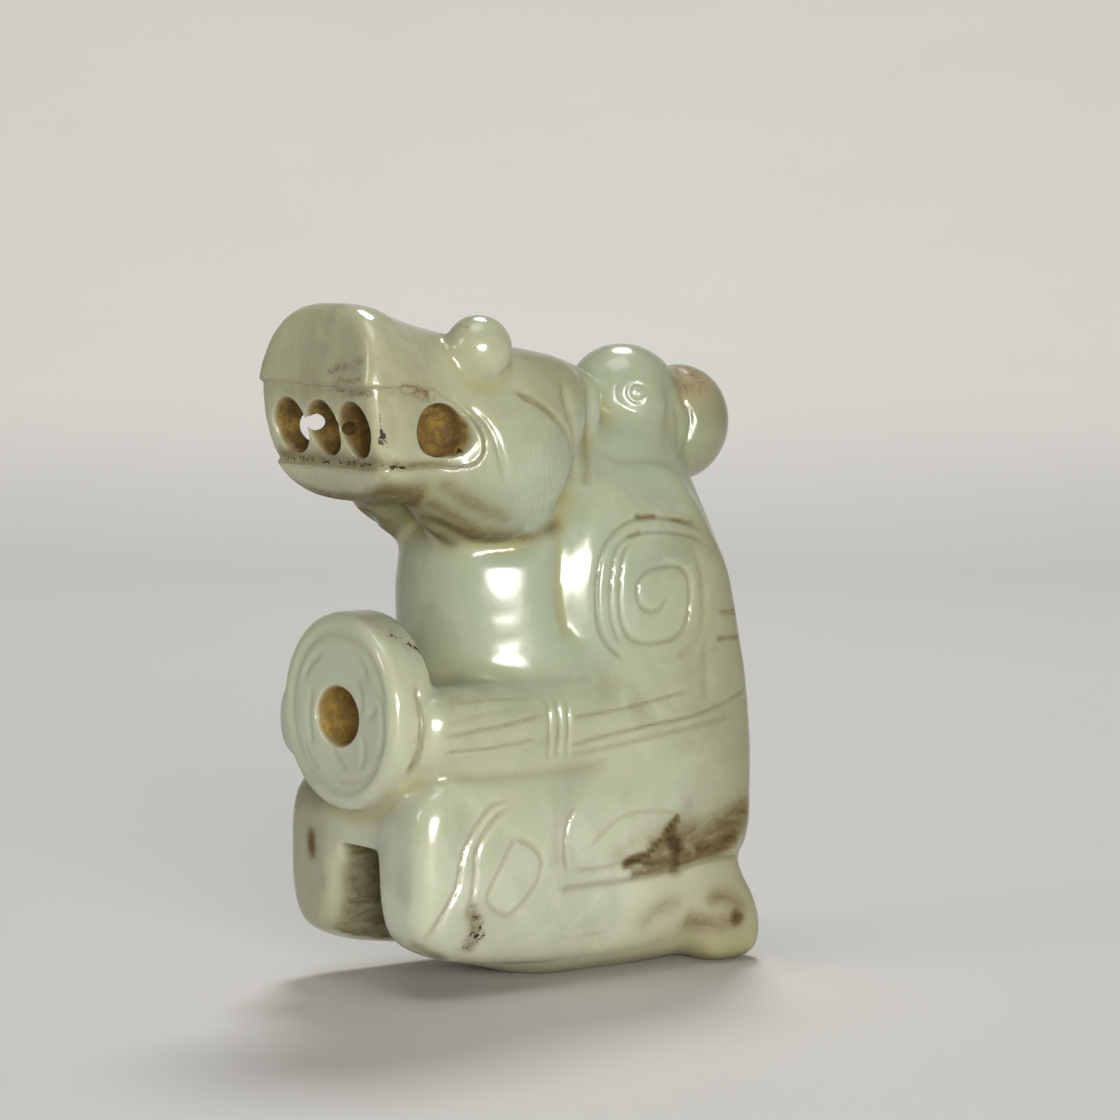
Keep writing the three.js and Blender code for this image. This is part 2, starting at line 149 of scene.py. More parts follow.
def write_points(piece: bpy.types.Object, points: Points) -> None:
    """Moves a piece's corners."""
    piece.data.vertices.foreach_set("co", points.ravel())
    piece.data.update()


def read_normals(piece: bpy.types.Object) -> Points:
    """Reads the outward direction at each corner of a piece.

    Args:
        piece: a mesh piece.

    Returns:
        One unit row for each corner.
    """
    flat = np.empty(len(piece.data.vertices) * 3, np.float32)
    piece.data.vertex_normals.foreach_get("vector", flat)
    return flat.reshape(-1, 3).astype(float)


def with_modifier(piece: bpy.types.Object, kind: str, **settings: object) -> None:
    """Adds a modifier to a piece and applies it at once.

    Args:
        piece: a mesh piece.
        kind: the modifier's type.
        settings: its settings by name.
    """
    take(piece)
    bpy.ops.object.modifier_add(type=kind)
    modifier = piece.modifiers[-1]
    for name, value in settings.items():
        setattr(modifier, name, value)
    bpy.ops.object.modifier_apply(modifier=modifier.name)


def fuse(pieces: Sequence[bpy.types.Object], name: str, grain: float) -> bpy.types.Object:
    """Joins overlapping pieces into one skin of even small faces.

    Args:
        pieces: closed pieces that overlap.
        name: the name of the result.
        grain: the edge length of the new faces, in millimetres.

    Returns:
        The fused piece.
    """
    take(*pieces)
    if len(pieces) > 1:
        bpy.ops.object.join()
    piece = bpy.context.view_layer.objects.active
    piece.name = name
    with_modifier(piece, "REMESH", mode="VOXEL", voxel_size=grain, adaptivity=0.0)
    return piece


def cut_away(piece: bpy.types.Object, cutter: bpy.types.Object) -> None:
    """Takes one piece out of another."""
    with_modifier(piece, "BOOLEAN", operation="DIFFERENCE", object=cutter, solver="EXACT")
    bpy.data.objects.remove(cutter, do_unlink=True)


class Neighbours:
    """Which points of a piece share an edge."""

    def __init__(self, piece: bpy.types.Object) -> None:
        """Reads the piece's edges.

        Args:
            piece: the object whose points are asked for their neighbours.
        """
        flat = np.empty(len(piece.data.edges) * 2, int)
        piece.data.edges.foreach_get("vertices", flat)
        self.a, self.b = flat.reshape(-1, 2).T
        self.total = len(piece.data.vertices)
        self.near = self.sum(np.ones(self.total))

    def sum(self, values: Points) -> Points:
        """Adds up a number over each point's neighbours."""
        a, b = self.a, self.b
        return np.bincount(a, values[b], self.total) + np.bincount(b, values[a], self.total)

    def mean(self, points: Points) -> Points:
        """Finds the middle of each point's neighbours."""
        return np.stack([self.sum(column) for column in points.T], 1) / self.near[:, None]


def soft_step(value: Points, low: float, high: float) -> Points:
    """Goes smoothly from 0 to 1 between two values."""
    t = np.clip((value - low) / (high - low), 0.0, 1.0)
    return t * t * (3.0 - 2.0 * t)


def flowing(rows: Points, count: int) -> Points:
    """Carries a table of rows to evenly spaced ones on a smooth curve that never overshoots them.

    Args:
        rows: the rows to pass through.
        count: how many rows to return.

    Returns:
        The evenly spaced rows.
    """
    steps = np.linalg.norm(np.diff(rows, axis=0), axis=1)
    knots = np.concatenate([[0.0], np.cumsum(steps)])
    slopes = np.diff(rows, axis=0) / steps[:, None]
    before, after = slopes[:-1], slopes[1:]
    same_way = before * after > 0
    total = np.where(same_way, before + after, 1.0)
    inner = np.where(same_way, 2.0 * before * after / total, 0.0)
    tangents = np.vstack([slopes[:1], inner, slopes[-1:]])
    at = np.linspace(0.0, knots[-1], count)
    i = np.clip(np.searchsorted(knots, at, side="right") - 1, 0, len(steps) - 1)
    span = steps[i][:, None]
    t = ((at - knots[i]) / steps[i])[:, None]
    return (
        (2 * t**3 - 3 * t**2 + 1) * rows[i]
        + (t**3 - 2 * t**2 + t) * span * tangents[i]
        + (3 * t**2 - 2 * t**3) * rows[i + 1]
        + (t**3 - t**2) * span * tangents[i + 1]
    )


def smooth_path(points: Sequence[Row], spacing: float) -> Points:
    """Runs a smooth line through drawn points.

    Args:
        points: the drawn points.
        spacing: the distance between the points of the result.

    Returns:
        Points along the line.
    """
    drawn = np.array(points, float)
    padded = np.vstack([2 * drawn[0] - drawn[1], drawn, 2 * drawn[-1] - drawn[-2]])
    out = []
    for i in range(len(drawn) - 1):
        a, b, c, d = padded[i : i + 4]
        count = max(2, int(np.linalg.norm(c - b) / spacing))
        t = np.linspace(0.0, 1.0, count, endpoint=False)[:, None]
        bend, twist = 2 * a - 5 * b + 4 * c - d, 3 * b - a - 3 * c + d
        out.append(0.5 * (2 * b + (c - a) * t + bend * t**2 + twist * t**3))
    return np.vstack([*out, drawn[-1:]])


# The rough-out: rounded masses that overlap.


@dataclass
class Mass:
    """A rounded mass swept through sections with more or less square corners.

    A section is [place, low x, high x, plus, minus]: plus and minus are its back and front on an upright
    mass, and its top and bottom on a lengthwise one.
    """

    name: str
    rows: Sequence[Row]
    axis: Axis
    power_plus: float
    power_minus: float
    middle: float | None = None
    lean: Callable[[Points, Points], Points] | None = None
    around: int = 96
    rings: int = 72

    def build(self) -> bpy.types.Object:
        """Adds a ball and carries its rings to the sections.

        Returns:
            The closed mass.
        """
        deselect()
        bpy.ops.mesh.primitive_uv_sphere_add(segments=self.around, ring_count=self.rings, radius=1.0)
        piece = bpy.context.object
        piece.name = self.name
        ball = read_points(piece)
        ring = np.rint(np.arccos(np.clip(ball[:, 2], -1, 1)) / math.pi * self.rings).astype(int)
        sections = flowing(np.array(self.rows, float), self.rings - 1)
        if self.axis is Axis.UPRIGHT:
            sections = sections[::-1]
        place, low, high, plus, minus = sections[np.clip(ring - 1, 0, self.rings - 2)].T
        angle = np.arctan2(ball[:, 1], ball[:, 0])
        c, s = np.cos(angle), np.sin(angle)
        power = np.where(s >= 0, self.power_plus, self.power_minus)
        reach = (np.abs(c) ** power + np.abs(s) ** power) ** (-1.0 / power)
        reach = np.where((ring == 0) | (ring == self.rings), 0.0, reach)
        centre_x = (low + high) / 2
        middle = (plus + minus) / 2 if self.middle is None else np.full(len(plus), self.middle)
        x = centre_x + c * reach * (high - low) / 2
        across = middle + s * reach * np.where(s >= 0, plus - middle, middle - minus)
        if self.axis is Axis.UPRIGHT:
            points = np.stack([x, across, place], 1)
        else:
            points = np.stack([x, place, across], 1)
        if self.lean is not None:
            points[:, 1] += self.lean(points[:, 1], points[:, 2])
        write_points(piece, points)
        return piece


def side_x(side: Side, inner: float, outer: float) -> tuple[float, float]:
    """Gives the low and high x of a part from its inner and outer distance."""
    return (inner, outer) if side is Side.LEFT else (-outer, -inner)


def egg(name: str, place: Row, radii: Row, tip: float = 0.0) -> bpy.types.Object:
    """Makes an ellipsoid.

    Args:
        name: its name.
        place: its centre.
        radii: its half axes.
        tip: its turn about X, in radians.

    Returns:
        The closed ellipsoid.
    """
    deselect()
    bpy.ops.mesh.primitive_uv_sphere_add(segments=72, ring_count=48, radius=1.0)
    piece = bpy.context.object
    piece.name = name
    x, y, z = (read_points(piece) * radii).T
    c, s = math.cos(tip), math.sin(tip)
    write_points(piece, np.stack([x, y * c - z * s, y * s + z * c], 1) + place)
    return piece


@dataclass
class Trunk:
    """Chest, back and neck in one, round in front and squarer behind."""

    # share of the neck's height, share of the chest's half width, front and back of the usual lines
    rows: Sequence[Row] = (
        (0.0, 0.44, 8.6, -7.0),
        (0.01, 0.6, 6.8, -5.5),
        (0.05, 0.9, 2.0, -3.2),
        (0.18, 0.98, 0.6, -2.5),
        (0.215, 1.04, 0.6, -0.9),
        (0.26, 1.07, 0.6, 0.0),
        (0.38, 1.08, 0.8, -0.2),
        (0.5, 1.06, 0.6, -0.5),
        (0.61, 1.03, 0.2, -1.1),
        (0.72, 1.0, 0.0, -2.0),
        (0.8, 0.95, 0.4, -3.4),
        (0.87, 0.86, 1.8, -4.6),
        (0.94, 0.74, 3.8, -5.8),
        (1.0, 0.58, 6.8, -7.6),
    )

    def build(self) -> list[bpy.types.Object]:
        """Makes the trunk.

        Returns:
            The one mass.
        """
        half = SIZE.chest_half
        rows = [
            (SIZE.neck * rise, -half * share, half * share, SIZE.back + back, SIZE.chest_front + front)
            for rise, share, front, back in self.rows
        ]
        return [Mass("trunk", rows, Axis.UPRIGHT, 5.5, 2.2, middle=0.0).build()]


@dataclass
class Arms:
    """Upper arms that stand proud of the chest, and level forearms that press the disc between the hands."""

    hand_back: float = 2.25
    far_hand_back: float = 0.1
    forearm_half: float = 3.6
    # share of the neck's height, inset from the side, front y, back from the back line
    panel: Sequence[Row] = (
        (0.165, 1.9, 5.0, -4.0),
        (0.2, 0.8, 4.0, -2.8),
        (0.23, 0.35, 3.0, -1.8),
        (0.38, 0.3, 2.0, -1.4),
        (0.5, 0.3, 2.0, -1.8),
        (0.56, 0.25, 0.6, -2.2),
        (0.62, 0.3, -0.9, -2.8),
        (0.68, 0.35, -1.6, -3.3),
        (0.75, 0.45, -1.5, -4.1),
        (0.81, 0.8, -1.3, -5.5),
        (0.87, 1.4, -0.7, -6.9),
        (0.92, 2.4, 0.7, -8.4),
        (0.96, 4.0, 2.4, -9.8),
    )

    def upper_arm(self, side: Side) -> bpy.types.Object:
        """Makes the panel of shoulder, upper arm and flank.

        Args:
            side: the side that it is on.

        Returns:
            The closed panel.
        """
        rows = [
            (SIZE.neck * rise, *side_x(side, 2.1, SIZE.arm_half - inset), SIZE.back + back, front)
            for rise, inset, front, back in self.panel
        ]
        return Mass("upper_arm", rows, Axis.UPRIGHT, 4.0, 4.5, middle=0.42 * SIZE.back).build()

    def forearm(self, side: Side) -> bpy.types.Object:
        """Makes the forearm and hand.

        Args:
            side: the side that it is on.

        Returns:
            The closed forearm.
        """
        hand = SIZE.disc_front + (self.hand_back if side is Side.LEFT else self.far_hand_back)
        elbow = SIZE.back - 3.0
        axis, half = SIZE.arm_axis, self.forearm_half
        stations = (
            (hand, 1.5, 1.0),
            (hand + 0.4, 0.9, 0.5),
            (hand + 1.3, 0.35, 0.2),
            (hand + 2.6, 0.05, 0.0),
            (hand + 6.0, 0.1, 0.0),
            (0.0, 0.0, 0.0),
            (elbow * 0.5, 0.1, -0.2),
            (elbow * 0.8, 0.5, 0.0),
            (elbow, 1.6, 0.8),
        )
        rows = [
            (y, *side_x(side, 3.1, SIZE.arm_half - inset), axis + half - pinch, axis - half + pinch)
            for y, inset, pinch in stations
        ]
        return Mass("forearm", rows, Axis.LENGTHWISE, 2.5, 2.5).build()

    def build(self) -> list[bpy.types.Object]:
        """Makes both arms."""
        return [make(side) for side in Side for make in (self.upper_arm, self.forearm)]


@dataclass
class Legs:
    """Legs folded under the figure, toes turned down behind, and the stone left between the thighs."""

    gap: float = 5.8
    gap_depth: float = 7.2
    gap_height: float = 11.7
    gap_rounding: float = 0.7
    gap_shift: float = 0.35

    def leg(self, side: Side) -> bpy.types.Object:
        """Makes knee, thigh and calf.

        Args:
            side: the side that it is on.

        Returns:
            The closed leg.
        """
        knee, back = SIZE.knee_front, SIZE.back
        stations = (
            (knee, 0.9, 1.9, 4.2, 5.4),
            (knee + 0.5, 0.35, 0.9, 2.8, 4.4),
            (knee + 1.8, 0.1, 0.3, 1.4, 3.6),
            (knee + 4.6, 0.0, 0.0, 0.5, 2.7),
            (knee * 0.5, 0.0, 0.1, 0.1, 2.1),
            (knee * 0.2, 0.0, 0.3, 0.0, 1.7),
            (back * 0.15, 0.0, 0.5, 0.0, 1.6),
            (back * 0.45, 0.0, 0.7, 0.0, 1.9),
            (back * 0.65, 0.0, 1.0, 0.4, 2.2),
            (back * 0.78, 0.5, 1.7, 1.4, 3.4),
        )
        rows = [
            (y, *side_x(side, self.gap / 2 + inset, SIZE.leg_half - outset), SIZE.thigh_top - fall, bottom)
            for y, inset, outset, fall, bottom in stations
        ]
        return Mass("leg", rows, Axis.LENGTHWISE, 4.0, 2.6).build()

    def foot(self, side: Side) -> bpy.types.Object:
        """Makes the foot and its toes.

        Args:
            side: the side that it is on.

        Returns:
            The closed foot.
        """
        stations = (
            (0.0, 3.0, -5.6, -1.8),
            (0.06, 1.9, -6.4, -1.0),
            (0.18, 1.3, -7.2, -0.6),
            (0.4, 1.0, -7.8, -0.7),
            (0.65, 1.1, -8.4, -1.4),
            (0.85, 1.4, -8.4, -2.4),
            (1.05, 1.7, -8.0, -3.2),
            (1.3, 2.6, -8.0, -4.4),
        )
        line, behind = SIZE.calf_line, SIZE.back
        rows = [
            (line * rise, *side_x(side, 1.25, SIZE.leg_half - inset), behind + back, behind + front)
            for rise, inset, front, back in stations
        ]
        return Mass("foot", rows, Axis.UPRIGHT, 4.0, 4.0, middle=behind - 4.0).build()

    def lap(self) -> bpy.types.Object:
        """Makes the stone left between arms, chest, disc and thighs.

        Returns:
            The closed block.
        """
        top = SIZE.arm_axis + 3.6
        stations = (
            (SIZE.disc_front + 1.9, 0.3, -0.8),
            (SIZE.disc_front + 5.0, 0.37, -0.4),
            (SIZE.chest_front + 2.0, 0.42, 0.4),
            (SIZE.back * 0.2, 0.43, 1.2),
        )
        rows = [
            (y, -SIZE.width * share, SIZE.width * share, top + rise, SIZE.calf_line + 2.0)
            for y, share, rise in stations
        ]
        return Mass("lap", rows, Axis.LENGTHWISE, 3.4, 3.4).build()

    def slot(self) -> bpy.types.Object:
        """Makes the block that is cut out between the knees, with rounded edges.

        Returns:
            The closed block.
        """
        deselect()
        spare = 2.9
        depth, height = self.gap_depth + spare, self.gap_height + spare
        place = (self.gap_shift, SIZE.knee_front - spare + depth / 2, self.gap_height - height / 2)
        bpy.ops.mesh.primitive_cube_add(size=1.0, location=place, scale=(self.gap, depth, height))
        bpy.ops.object.transform_apply(location=True, rotation=False, scale=True)
        bpy.ops.object.mode_set(mode="EDIT")
        bpy.ops.mesh.select_all(action="SELECT")
        bpy.ops.mesh.bevel(offset=self.gap_rounding, segments=4, profile=0.5)
        bpy.ops.object.mode_set(mode="OBJECT")
        return bpy.context.object

    def build(self) -> list[bpy.types.Object]:
        """Makes both legs and the lap."""
        limbs = [make(side) for side in Side for make in (self.leg, self.foot)]
        return [*limbs, self.lap()]


@dataclass
class Head:
    """Long square muzzle with bared teeth, heavy cheeks and round eyes."""

    eye_radius: float = 2.75
    eye_back: float = 12.1
    eye_drop: float = 3.8
    far_eye_drop: float = 4.7
    mouth_length: float = 11.0
    mouth_sink: float = 0.38
    gap_radius: float = 2.2
    gap_pitch: float = 4.55
    gap_depth: float = 3.4
    gap_level: float = 45.85
    gap_shift: float = 0.35
    gap_mouth: float = -20.95
    mouth_wear: float = 0.22
    mouth_flare: float = 0.09
    outline_spacing: float = 0.1
    side_gap_wall: float = 7.25
    side_gap_depth: float = 2.2
    side_gap_back: float = 7.7
    far_side_gap_depth: float = 3.6
    far_side_gap_back: float = 5.2

    @staticmethod
    def muzzle_lean(y: Points, z: Points) -> Points:
        """Leans the muzzle's face back above and below the lips, fading out along the head.

        Args:
            y: the places along the head.
            z: the heights above the ground.

        Returns:
            How far each point moves back.
        """
        fade = np.maximum(0.0, 1.0 - (y - SIZE.nose_front) / 9.0)
        above = z - SIZE.upper_lip
        return fade * np.where(above > 0, 0.2 * above, 0.03 * above * above)

    def skull(self) -> bpy.types.Object:
        """Makes muzzle and skull in one.

        Returns:
            The closed mass.
        """
        middle = SIZE.upper_lip - 1.6
        tall = SIZE.top - middle
        stations = (
            (0.0, 0.9, 0.93, 1.1),
            (0.35, 0.95, 0.975, 0.65),
            (1.0, 0.985, 0.995, 0.2),
            (2.8, 0.985, 0.985, 0.0),
            (4.8, 0.93, 0.9, 0.0),
            (7.8, 0.87, 0.79, 0.3),
            (11.4, 0.86, 0.68, 1.0),
            (15.6, 0.9, 0.57, 1.5),
            (19.2, 0.9, 0.5, 2.0),
            (22.2, 0.82, 0.42, 3.0),
            (24.8, 0.68, 0.27, 4.0),
            (26.4, 0.46, 0.08, 5.4),
        )
        half = SIZE.head_half
        rows = [
            (SIZE.nose_front + back, -half * share, half * share, middle + tall * rise, SIZE.chin + lift)
            for back, share, rise, lift in stations
        ]
        return Mass("skull", rows, Axis.LENGTHWISE, 2.7, 3.6, middle=middle, lean=self.muzzle_lean).build()

    def cheek(self, side: Side) -> bpy.types.Object:
        """Makes the heavy jaw muscle.

        Args:
            side: the side that it is on.

        Returns:
            The closed bulge.
        """
        half = SIZE.head_half
        place = (side.value * 0.46 * half, SIZE.nose_front + 14.6, SIZE.chin + 3.4)
        return egg("cheek", place, (0.65 * half, 8.3, 7.6))

    def eye(self, side: Side) -> bpy.types.Object:
        """Makes the round eye on the brow.

        Args:
            side: the side that it is on.

        Returns:
            The closed ball.
        """
        drop = self.eye_drop if side is Side.LEFT else self.far_eye_drop
        place = (side.value * 0.73 * SIZE.head_half, SIZE.nose_front + self.eye_back, SIZE.top - drop)
        return egg("eye", place, (self.eye_radius,) * 3)

    def drill(self, place: Row, turn: Row, radii: tuple[float, float], depth: float) -> bpy.types.Object:
        """Makes the round cutter of one drilled gap, with a worn mouth and a bowl at its end.

        Args:
            place: the mouth of the hole.
            turn: the cutter's turns about X, Y and Z, in radians.
            radii: its half width and half height.
            depth: how deep it goes.

        Returns:
            The closed cutter.
        """
        # depth and share of the radius at each ring, from outside the stone to the bowl's floor
        rings = (
            (-1.5, 1.0 + self.mouth_flare * 4),
            (0.0, 1.0 + self.mouth_flare),
            (self.mouth_wear, 1.0),
            (depth * 0.22, 0.99),
            (depth * 0.42, 0.98),
            (depth * 0.62, 0.95),
            (depth * 0.8, 0.85),
            (depth * 0.92, 0.68),
            (depth, 0.4),
        )
        deselect()
        last = len(rings) - 1
        bpy.ops.mesh.primitive_cylinder_add(vertices=56, radius=1.0, depth=last, end_fill_type="TRIFAN")
        piece = bpy.context.object
        bpy.ops.object.mode_set(mode="EDIT")
        bottom = -last / 2
        for level in range(1, last):
            bpy.ops.mesh.select_all(action="SELECT")
            bpy.ops.mesh.bisect(plane_co=(0.0, 0.0, bottom + level), plane_no=(0.0, 0.0, 1.0))
        bpy.ops.object.mode_set(mode="OBJECT")
        points = read_points(piece)
        centre = np.hypot(points[:, 0], points[:, 1]) < 0.01
        stage = np.rint(points[:, 2] - bottom).astype(int)
        for number, (height, share) in enumerate(rings):
            here = stage == number
            points[here, 2] = height
            points[here, :2] *= share
        points[centre & (stage == last), 2] = depth * 1.03
        points[:, :2] *= radii
        write_points(piece, points)
        piece.location = place
        piece.rotation_euler = turn
        bpy.ops.object.transform_apply(location=True, rotation=True, scale=False)
        return piece

    def side_gap(self, side: Side, back: float, shares: Row, depth: float) -> bpy.types.Object:
        """Makes the cutter of a gap in the side of the mouth.

        Args:
            side: the side that it is on.
            back: how far behind the nose it is.
            shares: its half width and half height as shares of the usual radius.
            depth: how deep it goes.

        Returns:
            The closed cutter.
        """
        place = (side.value * self.side_gap_wall, SIZE.nose_front + back, self.gap_level)
        radii = (self.gap_radius * shares[0], self.gap_radius * shares[1])
        return self.drill(place, (0.0, -side.value * math.pi / 2, 0.0), radii, depth)

    def tooth_gaps(self) -> list[bpy.types.Object]:
        """Makes the cutters between the teeth: three in front and one on the figure's left.

        Returns:
            The four cutters.
        """
        size = (self.gap_radius, self.gap_radius * 0.98)
        places = [(self.gap_shift + k * self.gap_pitch, self.gap_mouth, self.gap_level) for k in (-1, 0, 1)]
        front = [self.drill(place, (-math.pi / 2, 0.0, 0.0), size, self.gap_depth) for place in places]
        return [*front, self.side_gap(Side.LEFT, self.side_gap_back, (1.0, 1.04), self.side_gap_depth)]

    def broken_teeth(self) -> list[bpy.types.Object]:
        """Makes the cutters of the far side gap and of the breaks in the thin teeth beside the middle gap.

        Returns:
            The three cutters.
        """
        far = self.side_gap(Side.RIGHT, self.far_side_gap_back, (0.95, 0.95), self.far_side_gap_depth)
        half, middle, front, level = self.gap_pitch / 2, self.gap_shift, self.gap_mouth, self.gap_level
        wide = egg("break", (middle - half, front + 1.0, level + 0.6), (0.7, 1.1, 0.8))
        small = egg("break", (middle + half, front + 1.1, level + 0.2), (0.6, 0.8, 0.6))
        return [far, wide, small]

    def build(self) -> list[bpy.types.Object]:
        """Makes the skull and cheeks; the eyes are added once the rough-out is smooth."""
        return [self.skull(), *(self.cheek(side) for side in Side)]

    def mouth_outline(self) -> Points:
        """Draws the outline of the sunk band between the lips, seen from the side.

        Returns:
            A closed loop of y and z.
        """
        rear = SIZE.nose_front + self.mouth_length
        low, high = SIZE.lower_lip, SIZE.upper_lip
        tall, long = high - low, self.mouth_length
        ahead = SIZE.nose_front - 3.0
        corner = ((0.55, 0.0), (0.1, 0.02), (0.01, 0.32), (0.11, 0.67), (0.36, 0.92), (0.62, 0.99))
        points = [(rear - long * back, low + tall * rise) for back, rise in corner]
        return smooth_path([(ahead, low), *points, (ahead, high)], self.outline_spacing)


@dataclass
class Crest:
    """Two round lobes behind the head, one over the other's shoulder."""

    # ahead of the back line, above the neck, share of the half width, half length, half height, tip
    lobes: Sequence[Row] = (
        (9.0, 2.6, 1.0, 4.9, 4.5, -0.5),
        (3.4, 0.3, 0.96, 4.4, 5.0, -0.2),
        (11.0, -1.8, 1.08, 6.4, 4.6, 0.0),
    )

    def build(self) -> list[bpy.types.Object]:
        """Makes the lobes and the root they rise from.

        Returns:
            Their three masses.
        """
        back, neck, half = SIZE.back, SIZE.neck, SIZE.crest_half
        return [
            egg("crest", (0.0, back - ahead, neck + rise), (half * width, long, tall), tip)
            for ahead, rise, width, long, tall, tip in self.lobes
        ]


@dataclass
class Disc:
    """The disc: a flat cake with soft edges and a drilled hole, upright and facing forward."""

    half_width: float = 8.2
    half_height: float = 8.1
    thickness: float = 4.4
    edge: float = 0.9
    bore_radius: float = 2.6
    bore_depth: float = 3.2

    def build(self) -> bpy.types.Object:
        """Makes the cake with its edges rounded.

        Returns:
            The closed disc.
        """
        deselect()
        middle = SIZE.disc_front + self.thickness / 2
        bpy.ops.mesh.primitive_cylinder_add(
            vertices=96,
            radius=self.half_height,
            depth=self.thickness,
            location=(0.0, middle, SIZE.disc_axis),
            rotation=(math.pi / 2, 0.0, 0.0),
            scale=(self.half_width / self.half_height, 1.0, 1.0),
        )
        bpy.ops.object.transform_apply(location=True, rotation=True, scale=True)
        piece = bpy.context.object
        piece.name = "disc"
        with_modifier(piece, "BEVEL", width=self.edge, segments=5, limit_method="ANGLE")
        return piece

    def bore(self, head: Head) -> bpy.types.Object:
        """Makes the cutter of the hole in its middle.

        Args:
            head: the maker of drilled gaps.

        Returns:
            The closed cutter.
        """
        place = (0.1, SIZE.disc_front + 0.05, 0.985 * SIZE.disc_axis)
        radii = (self.bore_radius * 1.1, self.bore_radius * 0.9)
        return head.drill(place, (-math.pi / 2, 0.0, 0.0), radii, self.bore_depth)


# Polishing: creases filled and edges worn.


@dataclass(frozen=True)
class SoftZone:
    """A region whose creases were ground to a wide hollow, the same on both sides of the figure."""

    place: Row
    radii: Row
    strength: float

    def weight(self, points: Points) -> Points:
        """Says how strongly each point is ground.

        Args:
            points: the points of the rough-out.

        Returns:
            A share from 0 to the zone's strength for each.
        """
        mirrored = np.stack([np.abs(points[:, 0]), points[:, 1], points[:, 2]], 1)
        away = np.linalg.norm((mirrored - self.place) / self.radii, axis=1)
        return self.strength * (1.0 - soft_step(away, 0.55, 1.15))


@dataclass
class Polish:
    """How far the creases of each region were ground out before the final polish."""

    everywhere: float = 0.05
    rounds: int = 110
    rise: float = 0.9  # how much of the way to its neighbours' middle a sunk point rises in a round
    slide: float = 0.3  # and how much of the way it slides along the surface
    zones: Sequence[SoftZone] = (
        SoftZone((5.0, 9.0, 42.5), (7.0, 8.0, 4.0), 0.8),
        SoftZone((9.0, 0.0, 18.2), (4.0, 18.0, 2.6), 1.0),
        SoftZone((9.0, 12.0, 8.0), (3.5, 7.0, 4.0), 0.45),
        SoftZone((7.0, -5.0, 25.0), (5.0, 8.0, 2.5), 0.3),
        SoftZone((9.5, 14.0, 24.0), (4.0, 7.0, 12.0), 1.0),
        SoftZone((0.0, -16.0, 12.0), (9.0, 5.0, 3.0), 0.4),
        SoftZone((6.0, -19.0, 42.0), (6.0, 3.0, 3.0), 0.5),
    )

    def fill(self, piece: bpy.types.Object) -> None:
        """Fills the creases between the masses and leaves their swells alone.

        Args:
            piece: the fused rough-out.
        """
        mesh = piece.data
        points, beside = read_points(piece), Neighbours(piece)
        quads = np.empty(len(mesh.polygons) * 4, int)
        mesh.polygons.foreach_get("vertices", quads)
        quads = quads.reshape(-1, 4)
        total = len(points)
        weight = np.full(total, self.everywhere)
        for zone in self.zones:
            weight = np.maximum(weight, zone.weight(points))
        for _ in range(self.rounds):
            mean = beside.mean(points)
            first, second, third, fourth = (points[quads[:, j]] for j in range(4))
            flat = np.cross(third - first, fourth - second)
            normal = np.stack(
                [sum(np.bincount(quads[:, j], flat[:, k], total) for j in range(4)) for k in range(3)], 1
            )
            normal /= np.linalg.norm(normal, axis=1, keepdims=True) + 1e-12
            outwards = ((mean - points) * normal).sum(1)
            points += normal * (np.maximum(outwards, 0.0) * weight * self.rise)[:, None]
            points += (mean - points - normal * outwards[:, None]) * self.slide
        write_points(piece, points)


# Carved lines and stains.


class Holds(Enum):
    """What a mark leaves on the stone, by the name that the finish reads."""

    DIRT = "dirt"
    # earth also carries the painted shade under the chin and jaw
    EARTH_AND_SHADE = "earth_and_shade"
    PIT = "pit"
    RUST = "rust"


LINE_SPACING = 0.12


def lay(face: Face, points: Sequence[Row], skin: BVHTree) -> tuple[Points, Points]:
    """Lays a drawn line on the carving.

    Args:
        face: the side it is drawn on.
        points: the points it is drawn through.
        skin: the carving's surface.

    Returns:
        Points on the surface, and how far each is from the line's nearer end.
    """
    first, second, look = face.value
    path = smooth_path(points, LINE_SPACING) if len(points) > 1 else np.array(points, float)
    ways = Vector(look)
    found, ends = [], []
    for i, (u, v) in enumerate(path):
        start = [0.0, 0.0, 0.0]
        start[first], start[second] = u, v
        hit = skin.ray_cast(Vector(start) - ways * 100.0, ways)[0]
        if hit is not None:
            found.append(hit)
            ends.append(min(i, len(path) - 1 - i) * LINE_SPACING)
    return np.array(found).reshape(-1, 3), np.array(ends)


def near_line(points: Points, line: Points, reach: float) -> tuple[Points, Points, Points]:
    """Finds the points of a piece that lie close to a line.

    Args:
        points: the piece's points.
        line: points along the line.
        reach: how close they must lie.

    Returns:
        Their numbers, their distances, and the number of the nearest point of the line.
    """
    low, high = line.min(0) - reach, line.max(0) + reach
    found = np.nonzero(((points > low) & (points < high)).all(1))[0]
    gaps = np.linalg.norm(points[found, None] - line[None], axis=2)
    nearest = gaps.argmin(1)
    away = gaps[np.arange(len(found)), nearest]
    close = away < reach
    return found[close], away[close], nearest[close]


@dataclass(frozen=True)
class Stroke:
    """One carved line: the points it is drawn through, its half width, its depth and the dirt it holds."""

    face: Face
    points: Sequence[Row]
    half_width: float = 0.3
    depth: float = 0.2
    dirt: float = 0.5
    run_out: float = 1.1  # the length over which it grows to its full depth


@dataclass(frozen=True)
class Mark:
    """A stain or pit: the points it follows, its half width, its strength and what it holds."""

    face: Face
    points: Sequence[Row]
    half_width: float
    strength: float
    holds: Holds = Holds.EARTH_AND_SHADE


def oval(centre: Row, radii: Row, start: float = 0.0, sweep: float = 1.0, count: int = 24) -> list[Row]:
    """Draws part of an oval."""
    angles = [2 * math.pi * (start + sweep * i / count) for i in range(count + 1)]
    return [(centre[0] + radii[0] * math.cos(a), centre[1] + radii[1] * math.sin(a)) for a in angles]


